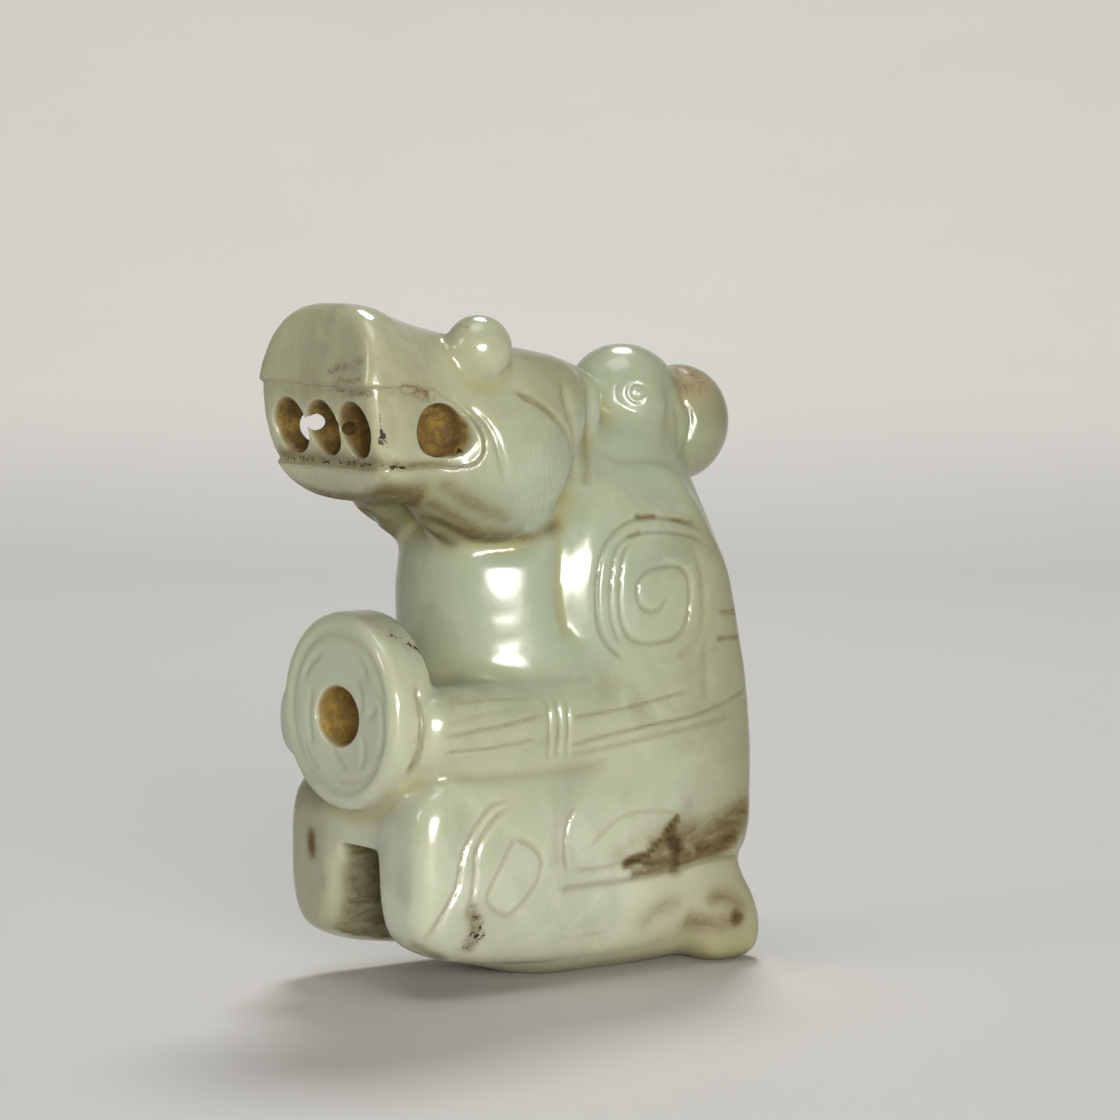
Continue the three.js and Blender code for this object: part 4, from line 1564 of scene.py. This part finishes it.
@dataclass(frozen=True)
class Jade:
    """Pale green polished stone, cooler on the chest and warmer low down, with brown earth in its cuts, and
    painted shade in its hollows, under the jaw, near the ground and towards the back.
    """

    green: str = "acb094"
    pale: str = "ced2bf"
    cool: str = "a7b29b"
    warm: str = "bfb48f"
    grey: str = "989b83"
    # painted shade: darker olive towards the back, under the chin and jaw, behind the head and on the far
    # knee
    painted_shade_olive: str = "7f7f5c"
    rind: str = "b09a76"
    # painted shade in the hollows and near the ground
    shade: str = "a59a5c"
    # the earth colours also paint the shade under the chin and jaw
    earth_and_shade: str = "3d2b0c"
    soft_earth_and_shade: str = "64511e"
    dark_earth: str = "251705"
    rust: str = "5c3603"
    ochre: str = "9c8142"
    bored: str = "5c4724"
    roughness: float = 0.2
    index: float = 1.61
    glow: float = 0.6
    glow_reach: float = 0.002
    glow_tint: Row = (1.0, 0.95, 0.65)
    coat: float = 0.25
    coat_roughness: float = 0.14
    crust_index: float = 1.38
    crust_roughness: float = 0.28  # more than the stone's
    relief_depth: float = 0.00016
    relief_strength: float = 0.5

    def stone(self, graph: Graph, grain: Grain) -> bpy.types.NodeSocket:
        """Mixes the clean stone, with painted shade in its hollows, under the jaw, behind the head, on the
        far knee, near the ground and towards the back.

        Args:
            graph: the material's graph.
            grain: its noises.

        Returns:
            Its colour.
        """
        height, drift = graph.axis("Z"), grain.drift
        cool = (
            graph.spot((6.0, -3.0, 33.0), (12.0, 11.0, 9.0), 1.0)
            .either(graph.spot((4.0, 9.0, 45.0), (9.0, 8.0, 8.0), 1.0))
            .either(graph.spot((8.0, -5.0, 40.0), (4.0, 7.0, 5.0), 1.0))
        )
        low = height.between(26.0, 6.0) * (drift.between(0.3, 0.66) * 0.25 + 0.42)
        disc = graph.spot((0.0, -18.5, 22.4), (9.0, 4.5, 9.0), 0.8)
        foot = graph.spot((8.0, 13.0, 4.0), (8.0, 8.0, 6.0), 1.0) * 0.5
        snout = graph.spot((0.0, -20.0, 49.0), (12.0, 9.0, 9.0), 1.0) * 0.35
        # painted shade: darker olive towards the back of the figure
        rear = graph.axis("Y").between(5.0, 19.0) * 0.75
        # painted shade under the chin and jaw, behind the head and on the far knee
        shaded = (
            graph.spot((0.0, -13.0, 39.2), (11.0, 7.0, 3.4), 0.9)
            .either(graph.spot((0.0, -2.0, 50.5), (11.0, 4.5, 4.0), 1.0))
            .either(graph.spot((-7.0, -18.5, 9.0), (4.5, 4.5, 9.0), 0.9))
            .either(graph.spot((0.0, -15.0, 40.6), (11.0, 5.0, 2.0), 0.9))
        )
        rind = graph.spot((2.0, 14.6, 48.8), (5.0, 2.4, 2.2), 0.8) * drift.between(0.3, 0.6)
        layers = (
            (grain.cloud.between(0.4, 0.66), self.grey),
            (cool * 0.75, self.cool),
            (low, self.pale),
            (disc * 0.4, self.pale),
            (foot.either(snout) * drift.between(0.2, 0.6), self.warm),
            (drift.between(0.5, 0.74) * 0.2, self.pale),
            (grain.fleck.between(0.56, 0.75) * 0.1, self.pale),
            (rear.either(shaded * 0.6), self.painted_shade_olive),
            # painted shade near the ground
            (height.between(4.0, 0.3) * 0.4, self.shade),
            (rind * 0.55, self.rind),
            # painted shade in the hollows
            (graph.carved("hollow") * (drift * 0.6 + 0.3), self.shade),
        )
        return graph.layered(linear(self.green), layers)

    def traces(self, graph: Graph, grain: Grain) -> Traces:
        """Breaks up what the carving holds, the shade painted under the jaw included, into natural traces.

        Args:
            graph: the material's graph.
            grain: its noises.

        Returns:
            How strongly each trace shows.
        """
        drift, fine, flame, grit = grain.drift, grain.fine - 0.5, grain.flame - 0.5, grain.grit
        # the earth here also holds the shade painted under the chin and jaw
        earth_and_shade = graph.carved("earth_and_shade") * (flame + fine * 0.4 + 1.0)
        pit = graph.carved("pit")
        speck = (pit + fine * 2.6).between(0.55, 0.8) * pit.between(0.05, 0.3)
        stray = grit.between(0.69, 0.74) * drift.between(0.5, 0.6) * 0.5
        return Traces(
            cut=graph.carved("dirt") * (drift.between(0.3, 0.62) * 0.55 + 0.45) * (grit * 0.5 + 0.75),
            earth_and_shade=earth_and_shade,
            stain_and_shade=earth_and_shade.between(0.0, 0.7),
            rust=(graph.carved("rust") * (fine * 3.4 + flame * 1.4 + 0.8)).between(0.05, 0.9),
            drilled=graph.carved("bore") * (grain.fleck.between(0.2, 0.5) * 0.2 + 0.8),
            speck=speck.either(stray),
        )

    def aged(self, graph: Graph, grain: Grain, traces: Traces) -> bpy.types.NodeSocket:
        """Lays dirt, earth with the shade painted under the jaw, rust and pits over the stone's colour.

        Args:
            graph: the material's graph.
            grain: its noises.
            traces: how strongly each trace shows.

        Returns:
            The colour of the surface.
        """
        cut, earth_and_shade, drilled = traces.cut, traces.earth_and_shade, traces.drilled
        packed = cut.between(0.35, 0.95) * grain.fleck.between(0.42, 0.62)
        disc_hole = graph.spot((0.0, -17.0, 22.4), (4.0, 4.0, 4.0), 0.4)
        layers = (
            (cut * 0.62, self.soft_earth_and_shade),
            (packed * 0.6, self.earth_and_shade),
            (traces.stain_and_shade * 0.85, self.soft_earth_and_shade),
            (earth_and_shade.between(0.4, 1.15) * 0.9, self.earth_and_shade),
            (earth_and_shade.between(0.9, 1.3) * 0.5, self.dark_earth),
            (traces.rust * 0.75, self.rust),
            (drilled, self.bored),
            (drilled * (grain.fleck.between(0.36, 0.66) * 0.6 + disc_hole * 0.45), self.ochre),
            (drilled * grain.fine.between(0.46, 0.34) * 0.3, self.dark_earth),
            (traces.speck * 0.92, self.dark_earth),
        )
        return graph.layered(self.stone(graph, grain), layers)

    def scratches(self, graph: Graph) -> Field:
        """Draws the fine scratches of handling, and the ground patch on the cheek.

        Args:
            graph: the material's graph.

        Returns:
            How strongly they show.
        """
        level = graph.drawn_out((0.4, 0.3, 0.2), (0.35, 5.0, 5.0)).between(0.6, 0.72)
        slanting = graph.drawn_out((-0.7, 0.1, 0.5), (6.0, 0.4, 6.0)).between(0.62, 0.74)
        ground = graph.drawn_out((0.35, 0.0, 0.0), (2.0, 7.0, 0.6)).between(0.5, 0.64)
        cheek = graph.spot((8.0, -5.4, 41.5), (4.0, 3.4, 3.6), 0.8)
        return level.either(slanting).either(cheek * ground * 2.0)

    def make(self) -> bpy.types.Material:
        """Mixes the stone with its dirt, stains, pits and painted shade, polished where clean and dull where
        stained or where shade is painted as earth.

        Returns:
            The finished material.
        """
        graph = Graph("pale_jade")
        grain = Grain(
            cloud=graph.noise(0.09, 4.0, 0.6, 0.8),
            drift=graph.noise(0.28, 4.0, 0.6, 0.5),
            flame=graph.drawn_out((0.6, 0.0, 0.0), (0.4, 0.5, 1.3), 5.0, 0.8),
            fleck=graph.noise(1.1, 4.0, 0.7, 0.4),
            fine=graph.noise(2.4, 3.0, 0.65, 0.4),
            grit=graph.noise(4.5, 3.0, 0.6),
        )
        traces, scratches = self.traces(graph, grain), self.scratches(graph)
        cut, stain_and_shade, drilled, speck = traces.cut, traces.stain_and_shade, traces.drilled, traces.speck
        wear = scratches * 0.06 + drilled * 0.45 + cut * 0.22 + stain_and_shade * 0.12 + speck * 0.4
        rough = grain.drift * 0.08 + wear + (self.roughness - 0.04)
        swell = grain.drift * 0.35 + graph.noise(0.7, 3.0) * 0.16 + grain.grit * 0.02
        crumbs = (grain.fleck * 0.8 + grain.fine * 0.5) * drilled
        relief = swell + crumbs - scratches * 0.015 - speck * 0.35 - stain_and_shade * grain.fine * 0.12
        shape = {"Strength": self.relief_strength, "Distance": self.relief_depth, "Height": relief}
        bump = graph.node("ShaderNodeBump", {}, shape).outputs[0]
        colour = self.aged(graph, grain, traces)
        polished = {
            "Base Color": colour,
            "Roughness": rough,
            "Normal": bump,
            "IOR": self.index,
            "Subsurface Weight": self.glow,
            "Subsurface Radius": self.glow_tint,
            "Subsurface Scale": self.glow_reach,
            "Coat Weight": self.coat,
            "Coat Roughness": self.coat_roughness,
        }
        for name, value in polished.items():
            graph.feed(graph.shader.inputs[name], value)
        dull = rough + self.crust_roughness
        crust = {"Base Color": colour, "Roughness": dull, "Normal": bump, "IOR": self.crust_index}
        graph.cover(drilled.either(stain_and_shade).either(speck).either(traces.rust * 0.7).either(cut * 0.8), crust)
        return graph.material


@dataclass
class Carving:
    """The whole figure: roughed out, ground, lined, drilled and finished."""

    trunk: Trunk = field(default_factory=Trunk)
    arms: Arms = field(default_factory=Arms)
    legs: Legs = field(default_factory=Legs)
    head: Head = field(default_factory=Head)
    crest: Crest = field(default_factory=Crest)
    disc: Disc = field(default_factory=Disc)
    polish: Polish = field(default_factory=Polish)
    drawing: Drawing = field(default_factory=Drawing)
    age: Age = field(default_factory=Age)
    finish: Jade = field(default_factory=Jade)
    rough_grain: float = 0.42
    fine_grain: float = 0.38
    line_reach: float = 0.5
    sharp: float = 50.0
    lip_dirt: float = 0.6
    slot_brown: float = 0.5
    # painted shade under the chin, kept with the earth
    chin_painted_shade: float = 0.56
    sole_earth: float = 0.3
    hollow_rounds: int = 12
    hollow_full: float = 0.02

    def rough_out(self) -> bpy.types.Object:
        """Joins the masses and grinds the creases between them.

        Returns:
            The body, without eyes and disc.
        """
        masses = [
            *self.trunk.build(),
            *self.arms.build(),
            *self.legs.build(),
            *self.head.build(),
            *self.crest.build(),
        ]
        body = fuse(masses, "body", self.rough_grain)
        self.polish.fill(body)
        with_modifier(body, "SMOOTH", factor=0.5, iterations=3)
        log.info("body roughed out: %d faces", len(body.data.polygons))
        return body

    @staticmethod
    def worked(piece: bpy.types.Object, strokes: Sequence[Stroke]) -> Points:
        """Works out how deep a set of strokes cuts at each point.

        Args:
            piece: the piece that is cut.
            strokes: the strokes.

        Returns:
            The depth at each point, in millimetres.
        """
        skin = BVHTree.FromObject(piece, bpy.context.evaluated_depsgraph_get())
        points = read_points(piece)
        depth = np.zeros(len(points))
        for stroke in strokes:
            line, ends = lay(stroke.face, stroke.points, skin)
            found, away, nearest = near_line(points, line, 3 * stroke.half_width)
            share = soft_step(ends[nearest], -0.2 * stroke.run_out, stroke.run_out)
            cut = stroke.depth * share * np.exp(-((away / stroke.half_width) ** 2))
            depth[found] = np.maximum(depth[found], cut)
        return depth

    def grind(self, body: bpy.types.Object) -> None:
        """Grinds the wide hollows along the arms, jaw and thighs."""
        depth = self.worked(body, self.drawing.hollows())
        write_points(body, read_points(body) - read_normals(body) * depth[:, None])

    def join(self, body: bpy.types.Object) -> bpy.types.Object:
        """Cuts the gap between the knees and adds the eyes and the disc.

        Args:
            body: the ground body.

        Returns:
            The carving in one skin.
        """
        cut_away(body, self.legs.slot())
        eyes = [self.head.eye(side) for side in Side]
        piece = fuse([body, self.disc.build(), *eyes], "jade_figure", self.fine_grain)
        with_modifier(piece, "SMOOTH", factor=0.5, iterations=2)
        log.info("eyes and disc joined: %d faces", len(piece.data.polygons))
        return piece

    def fit(self, piece: bpy.types.Object) -> None:
        """Brings the stone to its exact height, length and width, with a flat sole.

        Args:
            piece: the carving, in millimetres.
        """
        low, high = (np.array(corner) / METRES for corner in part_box("figure"))
        points = read_points(piece)
        points[:, 2] = np.where(points[:, 2] < 0.12, 0.0, points[:, 2])
        least, most = points.min(0), points.max(0)
        write_points(piece, low + (points - least) * (high - low) / (most - least))

    def refine(self, piece: bpy.types.Object) -> None:
        """Divides the faces along the lines, so that they are cut crisply.

        Args:
            piece: the carving.
        """
        mesh = piece.data
        flat = np.empty(len(mesh.polygons) * 3)
        mesh.polygons.foreach_get("center", flat)
        centres = flat.reshape(-1, 3)
        skin = BVHTree.FromObject(piece, bpy.context.evaluated_depsgraph_get())
        chosen = np.abs(self.mouth_distance(centres)) < 0.35
        for stroke in self.drawing.all_lines():
            line, _ = lay(stroke.face, stroke.points, skin)
            chosen[near_line(centres, line, self.line_reach)[0]] = True
        take(piece)
        bpy.ops.object.mode_set(mode="EDIT")
        bpy.ops.mesh.select_mode(type="FACE")
        bpy.ops.mesh.select_all(action="DESELECT")
        bpy.ops.object.mode_set(mode="OBJECT")
        mesh.polygons.foreach_set("select", chosen)
        bpy.ops.object.mode_set(mode="EDIT")
        bpy.ops.mesh.subdivide(number_cuts=1, smoothness=0.0, ngon=False, quadcorner="INNERVERT")
        bpy.ops.object.mode_set(mode="OBJECT")
        log.info("lines refined: %d points", len(mesh.vertices))

    def mouth_distance(self, points: Points) -> Points:
        """Measures how far points are inside the band between the lips.

        Args:
            points: points on the carving.

        Returns:
            Millimetres inside the band, less than zero outside it.
        """
        outline = self.head.mouth_outline()
        away = np.full(len(points), -9.0)
        near = np.nonzero((points[:, 1] < SIZE.nose_front + 13.0) & (np.abs(points[:, 2] - 46.0) < 6.0))[0]
        spots = points[near][:, 1:]
        tree = KDTree(len(outline))
        for i, (y, z) in enumerate(outline):
            tree.insert((y, z, 0.0), i)
        tree.balance()
        gap = np.array([tree.find((y, z, 0.0))[2] for y, z in spots]) if len(spots) else np.zeros(0)
        inside = np.zeros(len(spots), bool)
        start, end = outline, np.roll(outline, -1, 0)
        for (y1, z1), (y2, z2) in zip(start, end):
            crosses = (z1 > spots[:, 1]) != (z2 > spots[:, 1])
            if z1 != z2:
                inside ^= crosses & (spots[:, 0] < (y2 - y1) * (spots[:, 1] - z1) / (z2 - z1) + y1)
        away[near] = np.where(inside, gap, -gap)
        return away

    def cut_lines(self, piece: bpy.types.Object) -> None:
        """Cuts the lines and sinks the band between the lips.

        Args:
            piece: the carving.
        """
        self.refine(piece)
        depth = self.worked(piece, self.drawing.all_lines())
        points, normals = read_points(piece), read_normals(piece)
        inside = self.mouth_distance(points)
        on_muzzle = np.abs(normals[:, 2]) < 0.7
        sunk = self.head.mouth_sink * soft_step(inside, -0.12, 0.16) * on_muzzle
        write_points(piece, points - normals * np.maximum(depth, sunk)[:, None])

    def drill_gaps(self, piece: bpy.types.Object) -> None:
        """Drills the gaps between the teeth and the disc's hole, and keeps how far inside each point lies.

        Args:
            piece: the carving.
        """
        first, middle, last, near = self.head.tooth_gaps()
        far, wide, small = self.head.broken_teeth()
        surfaces = [bpy.data.materials.new(name) for name in ("polished", "drilled")]
        for surface in surfaces:
            piece.data.materials.append(surface)
        for group in ((first, last, near, self.disc.bore(self.head)), (middle, far), (wide, small)):
            take(*group)
            bpy.ops.object.join()
            cutter = bpy.context.view_layer.objects.active
            for surface in surfaces:
                cutter.data.materials.append(surface)
            cutter.data.polygons.foreach_set("material_index", [1] * len(cutter.data.polygons))
            cut_away(piece, cutter)
        self.keep(piece, "bore", self.inside_holes(piece))
        piece.data.materials.clear()
        for surface in surfaces:
            bpy.data.materials.remove(surface)
        log.info("gaps drilled: %d faces", len(piece.data.polygons))

    def inside_holes(self, piece: bpy.types.Object) -> Points:
        """Grades the walls of the drilled holes from their worn rims inwards.

        Args:
            piece: the drilled carving, whose holes still have their own surface.

        Returns:
            0 outside the holes and on their rims, rising to 1 inside.
        """
        mesh = piece.data
        drilled = np.empty(len(mesh.polygons), int)
        mesh.polygons.foreach_get("material_index", drilled)
        sizes = np.empty(len(mesh.polygons), int)
        mesh.polygons.foreach_get("loop_total", sizes)
        corners = np.empty(len(mesh.loops), int)
        mesh.loops.foreach_get("vertex_index", corners)
        total = len(mesh.vertices)
        around = np.bincount(corners, minlength=total)
        bored = np.bincount(corners, np.repeat(drilled, sizes), total)
        points = read_points(piece)
        rims = np.nonzero((bored > 0) & (bored < around))[0]
        tree = KDTree(len(rims))
        for i in rims:
            tree.insert(points[i], int(i))
        tree.balance()
        inside = np.nonzero((bored > 0) & (bored == around))[0]
        out = np.zeros(total)
        out[inside] = soft_step(np.array([tree.find(points[i])[2] for i in inside]), 0.0, 0.55)
        return out

    @staticmethod
    def keep(piece: bpy.types.Object, name: str, values: Points) -> None:
        """Keeps a number at each of a piece's points."""
        layer = piece.data.attributes.new(name, "FLOAT", "POINT")
        layer.data.foreach_set("value", values.astype(np.float32))

    def stain_and_shade(self, piece: bpy.types.Object) -> None:
        """Keeps at each point how much dirt, earth and rust lies there, and the shade painted under the chin,
        which is kept with the earth.

        Args:
            piece: the drilled carving.
        """
        skin = BVHTree.FromObject(piece, bpy.context.evaluated_depsgraph_get())
        points, normals = read_points(piece), read_normals(piece)
        held = {holds: np.zeros(len(points)) for holds in Holds}
        lines = [Mark(s.face, s.points, s.half_width, s.dirt, Holds.DIRT) for s in self.drawing.all_lines()]
        for mark in (*lines, *self.age.marks()):
            line, ends = lay(mark.face, mark.points, skin)
            if len(line):
                found, away, nearest = near_line(points, line, 2.6 * mark.half_width)
                value = mark.strength * np.exp(-((away / mark.half_width) ** 2))
                if mark.holds is Holds.DIRT:
                    value *= soft_step(ends[nearest], -0.4, 0.6)
                held[mark.holds][found] = np.maximum(held[mark.holds][found], value)
        inside = self.mouth_distance(points)
        lip = np.exp(-(((inside + 0.05) / 0.2) ** 2)) * self.lip_dirt * (np.abs(normals[:, 2]) < 0.9)
        held[Holds.DIRT] = np.maximum(held[Holds.DIRT], lip)
        # painted shade on the underside of the chin, kept with the earth
        chin = self.chin_painted_shade * soft_step(-normals[:, 2], 0.35, 0.85)
        chin *= (points[:, 2] > 36.0) * (points[:, 2] < 42.5) * (points[:, 1] < -6.0)
        sole = self.sole_earth * np.exp(-((points[:, 2] / 1.1) ** 2))
        for earth_and_shade in (self.between_knees(points, normals), chin, sole):
            held[Holds.EARTH_AND_SHADE] = np.maximum(held[Holds.EARTH_AND_SHADE], earth_and_shade)
        for holds, values in held.items():
            self.keep(piece, holds.value, values)

    def between_knees(self, points: Points, normals: Points) -> Points:
        """Grades how much brown is laid in the slot between the knees.

        Args:
            points: the carving's points.
            normals: the outward direction at each.

        Returns:
            How much brown is laid at each.
        """
        x, y, z = points.T
        deep = soft_step(y, SIZE.knee_front + 0.3, SIZE.knee_front + 2.2) * (y < -8.0)
        middle = x - self.legs.gap_shift
        facing = normals[:, 0] * np.sign(middle) < -0.35
        reach = np.where(facing, 2.4, 0.35)
        between = (np.abs(middle) < self.legs.gap / 2 + reach) * (z < self.legs.gap_height + 0.4) * deep
        return between * (self.slot_brown - 0.15 * soft_step(-normals[:, 0], 0.5, 0.9))

    def mark_hollows(self, piece: bpy.types.Object) -> None:
        """Keeps at each point how hollow the stone is around it, where the finish paints shade.

        Args:
            piece: the finished carving.
        """
        points, beside = read_points(piece), Neighbours(piece)
        hollow = ((beside.mean(points) - points) * read_normals(piece)).sum(1)
        for _ in range(self.hollow_rounds):
            hollow = 0.4 * hollow + 0.6 * beside.sum(hollow) / beside.near
        self.keep(piece, "hollow", soft_step(hollow, 0.0, self.hollow_full))

    def build(self) -> bpy.types.Object:
        """Makes the whole carving.

        Returns:
            The finished piece, in metres.
        """
        body = self.rough_out()
        self.grind(body)
        piece = self.join(body)
        self.fit(piece)
        self.cut_lines(piece)
        self.drill_gaps(piece)
        self.stain_and_shade(piece)
        self.mark_hollows(piece)
        self.fit(piece)
        write_points(piece, read_points(piece) * METRES)
        take(piece)
        bpy.ops.object.shade_smooth_by_angle(angle=math.radians(self.sharp))
        piece.data.materials.append(self.finish.make())
        return piece


# The place it is shown in.


@dataclass(frozen=True)
class Lamp:
    """A soft round lamp: its turn, rise and distance, its power in watts, its width, height and tint."""

    name: str
    turn: float
    rise: float
    away: float
    power: float
    width: float
    height: float
    tint: Row = (1.0, 1.0, 1.0)
    at_wall: bool = False


@dataclass
class Studio:
    """A plain pale floor and wall, soft lamps and the camera."""

    floor_radius: float = 0.9
    floor_bend: float = 1.6
    floor_steps: int = 24
    floor_colour: str = "c9c7c2"
    floor_cloud: str = "d2d0cb"
    turn: float = 53.0
    rise: float = 5.0
    distance: float = 0.39
    lens: float = 150.4
    target: Row = (0.00156, 0.00206, 0.0342)
    wall_place: Row = (233.0, 10.0, 2.2)
    air: float = 0.1
    lamps: Sequence[Lamp] = (
        Lamp("key_box", 67.0, 8.0, 0.75, 5.0, 0.42, 0.22, (1.0, 0.98, 0.93)),
        Lamp("left_box", -10.0, 24.0, 0.9, 0.75, 0.14, 0.32, (1.0, 0.98, 0.94)),
        Lamp("rear_box", 230.0, 56.0, 0.7, 2.6, 0.2, 0.2, (0.98, 0.99, 1.0)),
        Lamp("top_box", 20.0, 80.0, 1.1, 3.0, 0.7, 0.7),
        Lamp("backdrop_box", 233.0, 50.0, 1.3, 16.0, 1.2, 1.2, (1.0, 0.99, 0.98), at_wall=True),
    )

    def floor(self) -> bpy.types.Object:
        """Lays a round floor that curves up into a low wall far off.

        Returns:
            The floor.
        """
        deselect()
        bpy.ops.mesh.primitive_circle_add(vertices=96, radius=self.floor_radius, fill_type="NGON")
        piece = bpy.context.object
        piece.name = "floor"
        bpy.ops.object.mode_set(mode="EDIT")
        bpy.ops.mesh.select_all(action="SELECT")
        bpy.ops.mesh.region_to_loop()
        steps = self.floor_steps
        for step in range(steps):
            turn = math.pi / 2 * (step + 0.5) / steps
            across = self.floor_bend * math.pi / 2 / steps
            out = self.floor_radius + self.floor_bend * math.sin(math.pi / 2 * step / steps)
            share = (out + across * math.cos(turn)) / out
            move = {"value": (0.0, 0.0, across * math.sin(turn))}
            bpy.ops.mesh.extrude_edges_move(TRANSFORM_OT_translate=move)
            bpy.ops.transform.resize(value=(share, share, 1.0), center_override=(0.0, 0.0, 0.0))
        bpy.ops.object.mode_set(mode="OBJECT")
        bpy.ops.object.shade_smooth_by_angle(angle=math.radians(30.0))
        graph = Graph("pale_floor")
        cloud = graph.noise(0.01, 4.0)
        shade = graph.layered(linear(self.floor_colour), [(cloud * 0.4, self.floor_cloud)])
        graph.feed(graph.shader.inputs["Base Color"], shade)
        graph.feed(graph.shader.inputs["Roughness"], cloud * 0.1 + 0.55)
        piece.data.materials.append(graph.material)
        return piece

    def hang(self, lamp: Lamp) -> None:
        """Hangs a lamp and points it at the carving or at the wall.

        Args:
            lamp: the lamp.
        """
        light = bpy.data.lights.new(lamp.name, "AREA")
        light.shape = "ELLIPSE"
        light.size, light.size_y = lamp.width, lamp.height
        light.energy = lamp.power
        light.color = lamp.tint
        fitting = bpy.data.objects.new(lamp.name, light)
        fitting.location = self.around(lamp.turn, lamp.rise, lamp.away)
        aim = self.around(*self.wall_place) if lamp.at_wall else self.target
        towards = Vector(aim) - fitting.location
        fitting.rotation_euler = towards.to_track_quat("-Z", "Y").to_euler()
        bpy.context.collection.objects.link(fitting)

    def around(self, turn: float, rise: float, away: float) -> Row:
        """Gives a place around the carving.

        Args:
            turn: degrees about Z, 0 in front of the figure.
            rise: degrees above the ground.
            away: metres from the carving.

        Returns:
            The place.
        """
        a, e = math.radians(turn), math.radians(rise)
        x, y, z = self.target
        return (
            x + away * math.sin(a) * math.cos(e),
            y - away * math.cos(a) * math.cos(e),
            z + away * math.sin(e),
        )

    def build(self) -> None:
        """Sets up floor, light and camera."""
        self.floor()
        for lamp in self.lamps:
            self.hang(lamp)
        world = bpy.data.worlds.new("room")
        world.use_nodes = True
        background = world.node_tree.nodes["Background"]
        background.inputs["Color"].default_value = (0.86, 0.86, 0.85, 1.0)
        background.inputs["Strength"].default_value = self.air
        bpy.context.scene.world = world
        camera = bpy.data.cameras.new("camera")
        camera.lens, camera.sensor_width = self.lens, 36.0
        camera.clip_start, camera.clip_end = 0.01, 20.0
        stand = bpy.data.objects.new("camera", camera)
        stand.location = self.around(self.turn, self.rise, self.distance)
        towards = Vector(self.target) - stand.location
        stand.rotation_euler = towards.to_track_quat("-Z", "Y").to_euler()
        bpy.context.collection.objects.link(stand)
        bpy.context.scene.camera = stand
        bpy.context.scene.view_settings.view_transform = "Standard"


def main() -> None:
    """Builds the carving and its setting, and logs the carving's face count."""
    np.random.seed(SEED)
    piece = Carving().build()
    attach(piece, "root")
    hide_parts("figure")
    log.info("%s: %d faces", piece.name, len(piece.data.polygons))
    Studio().build()


if __name__ == "__main__":
    main()
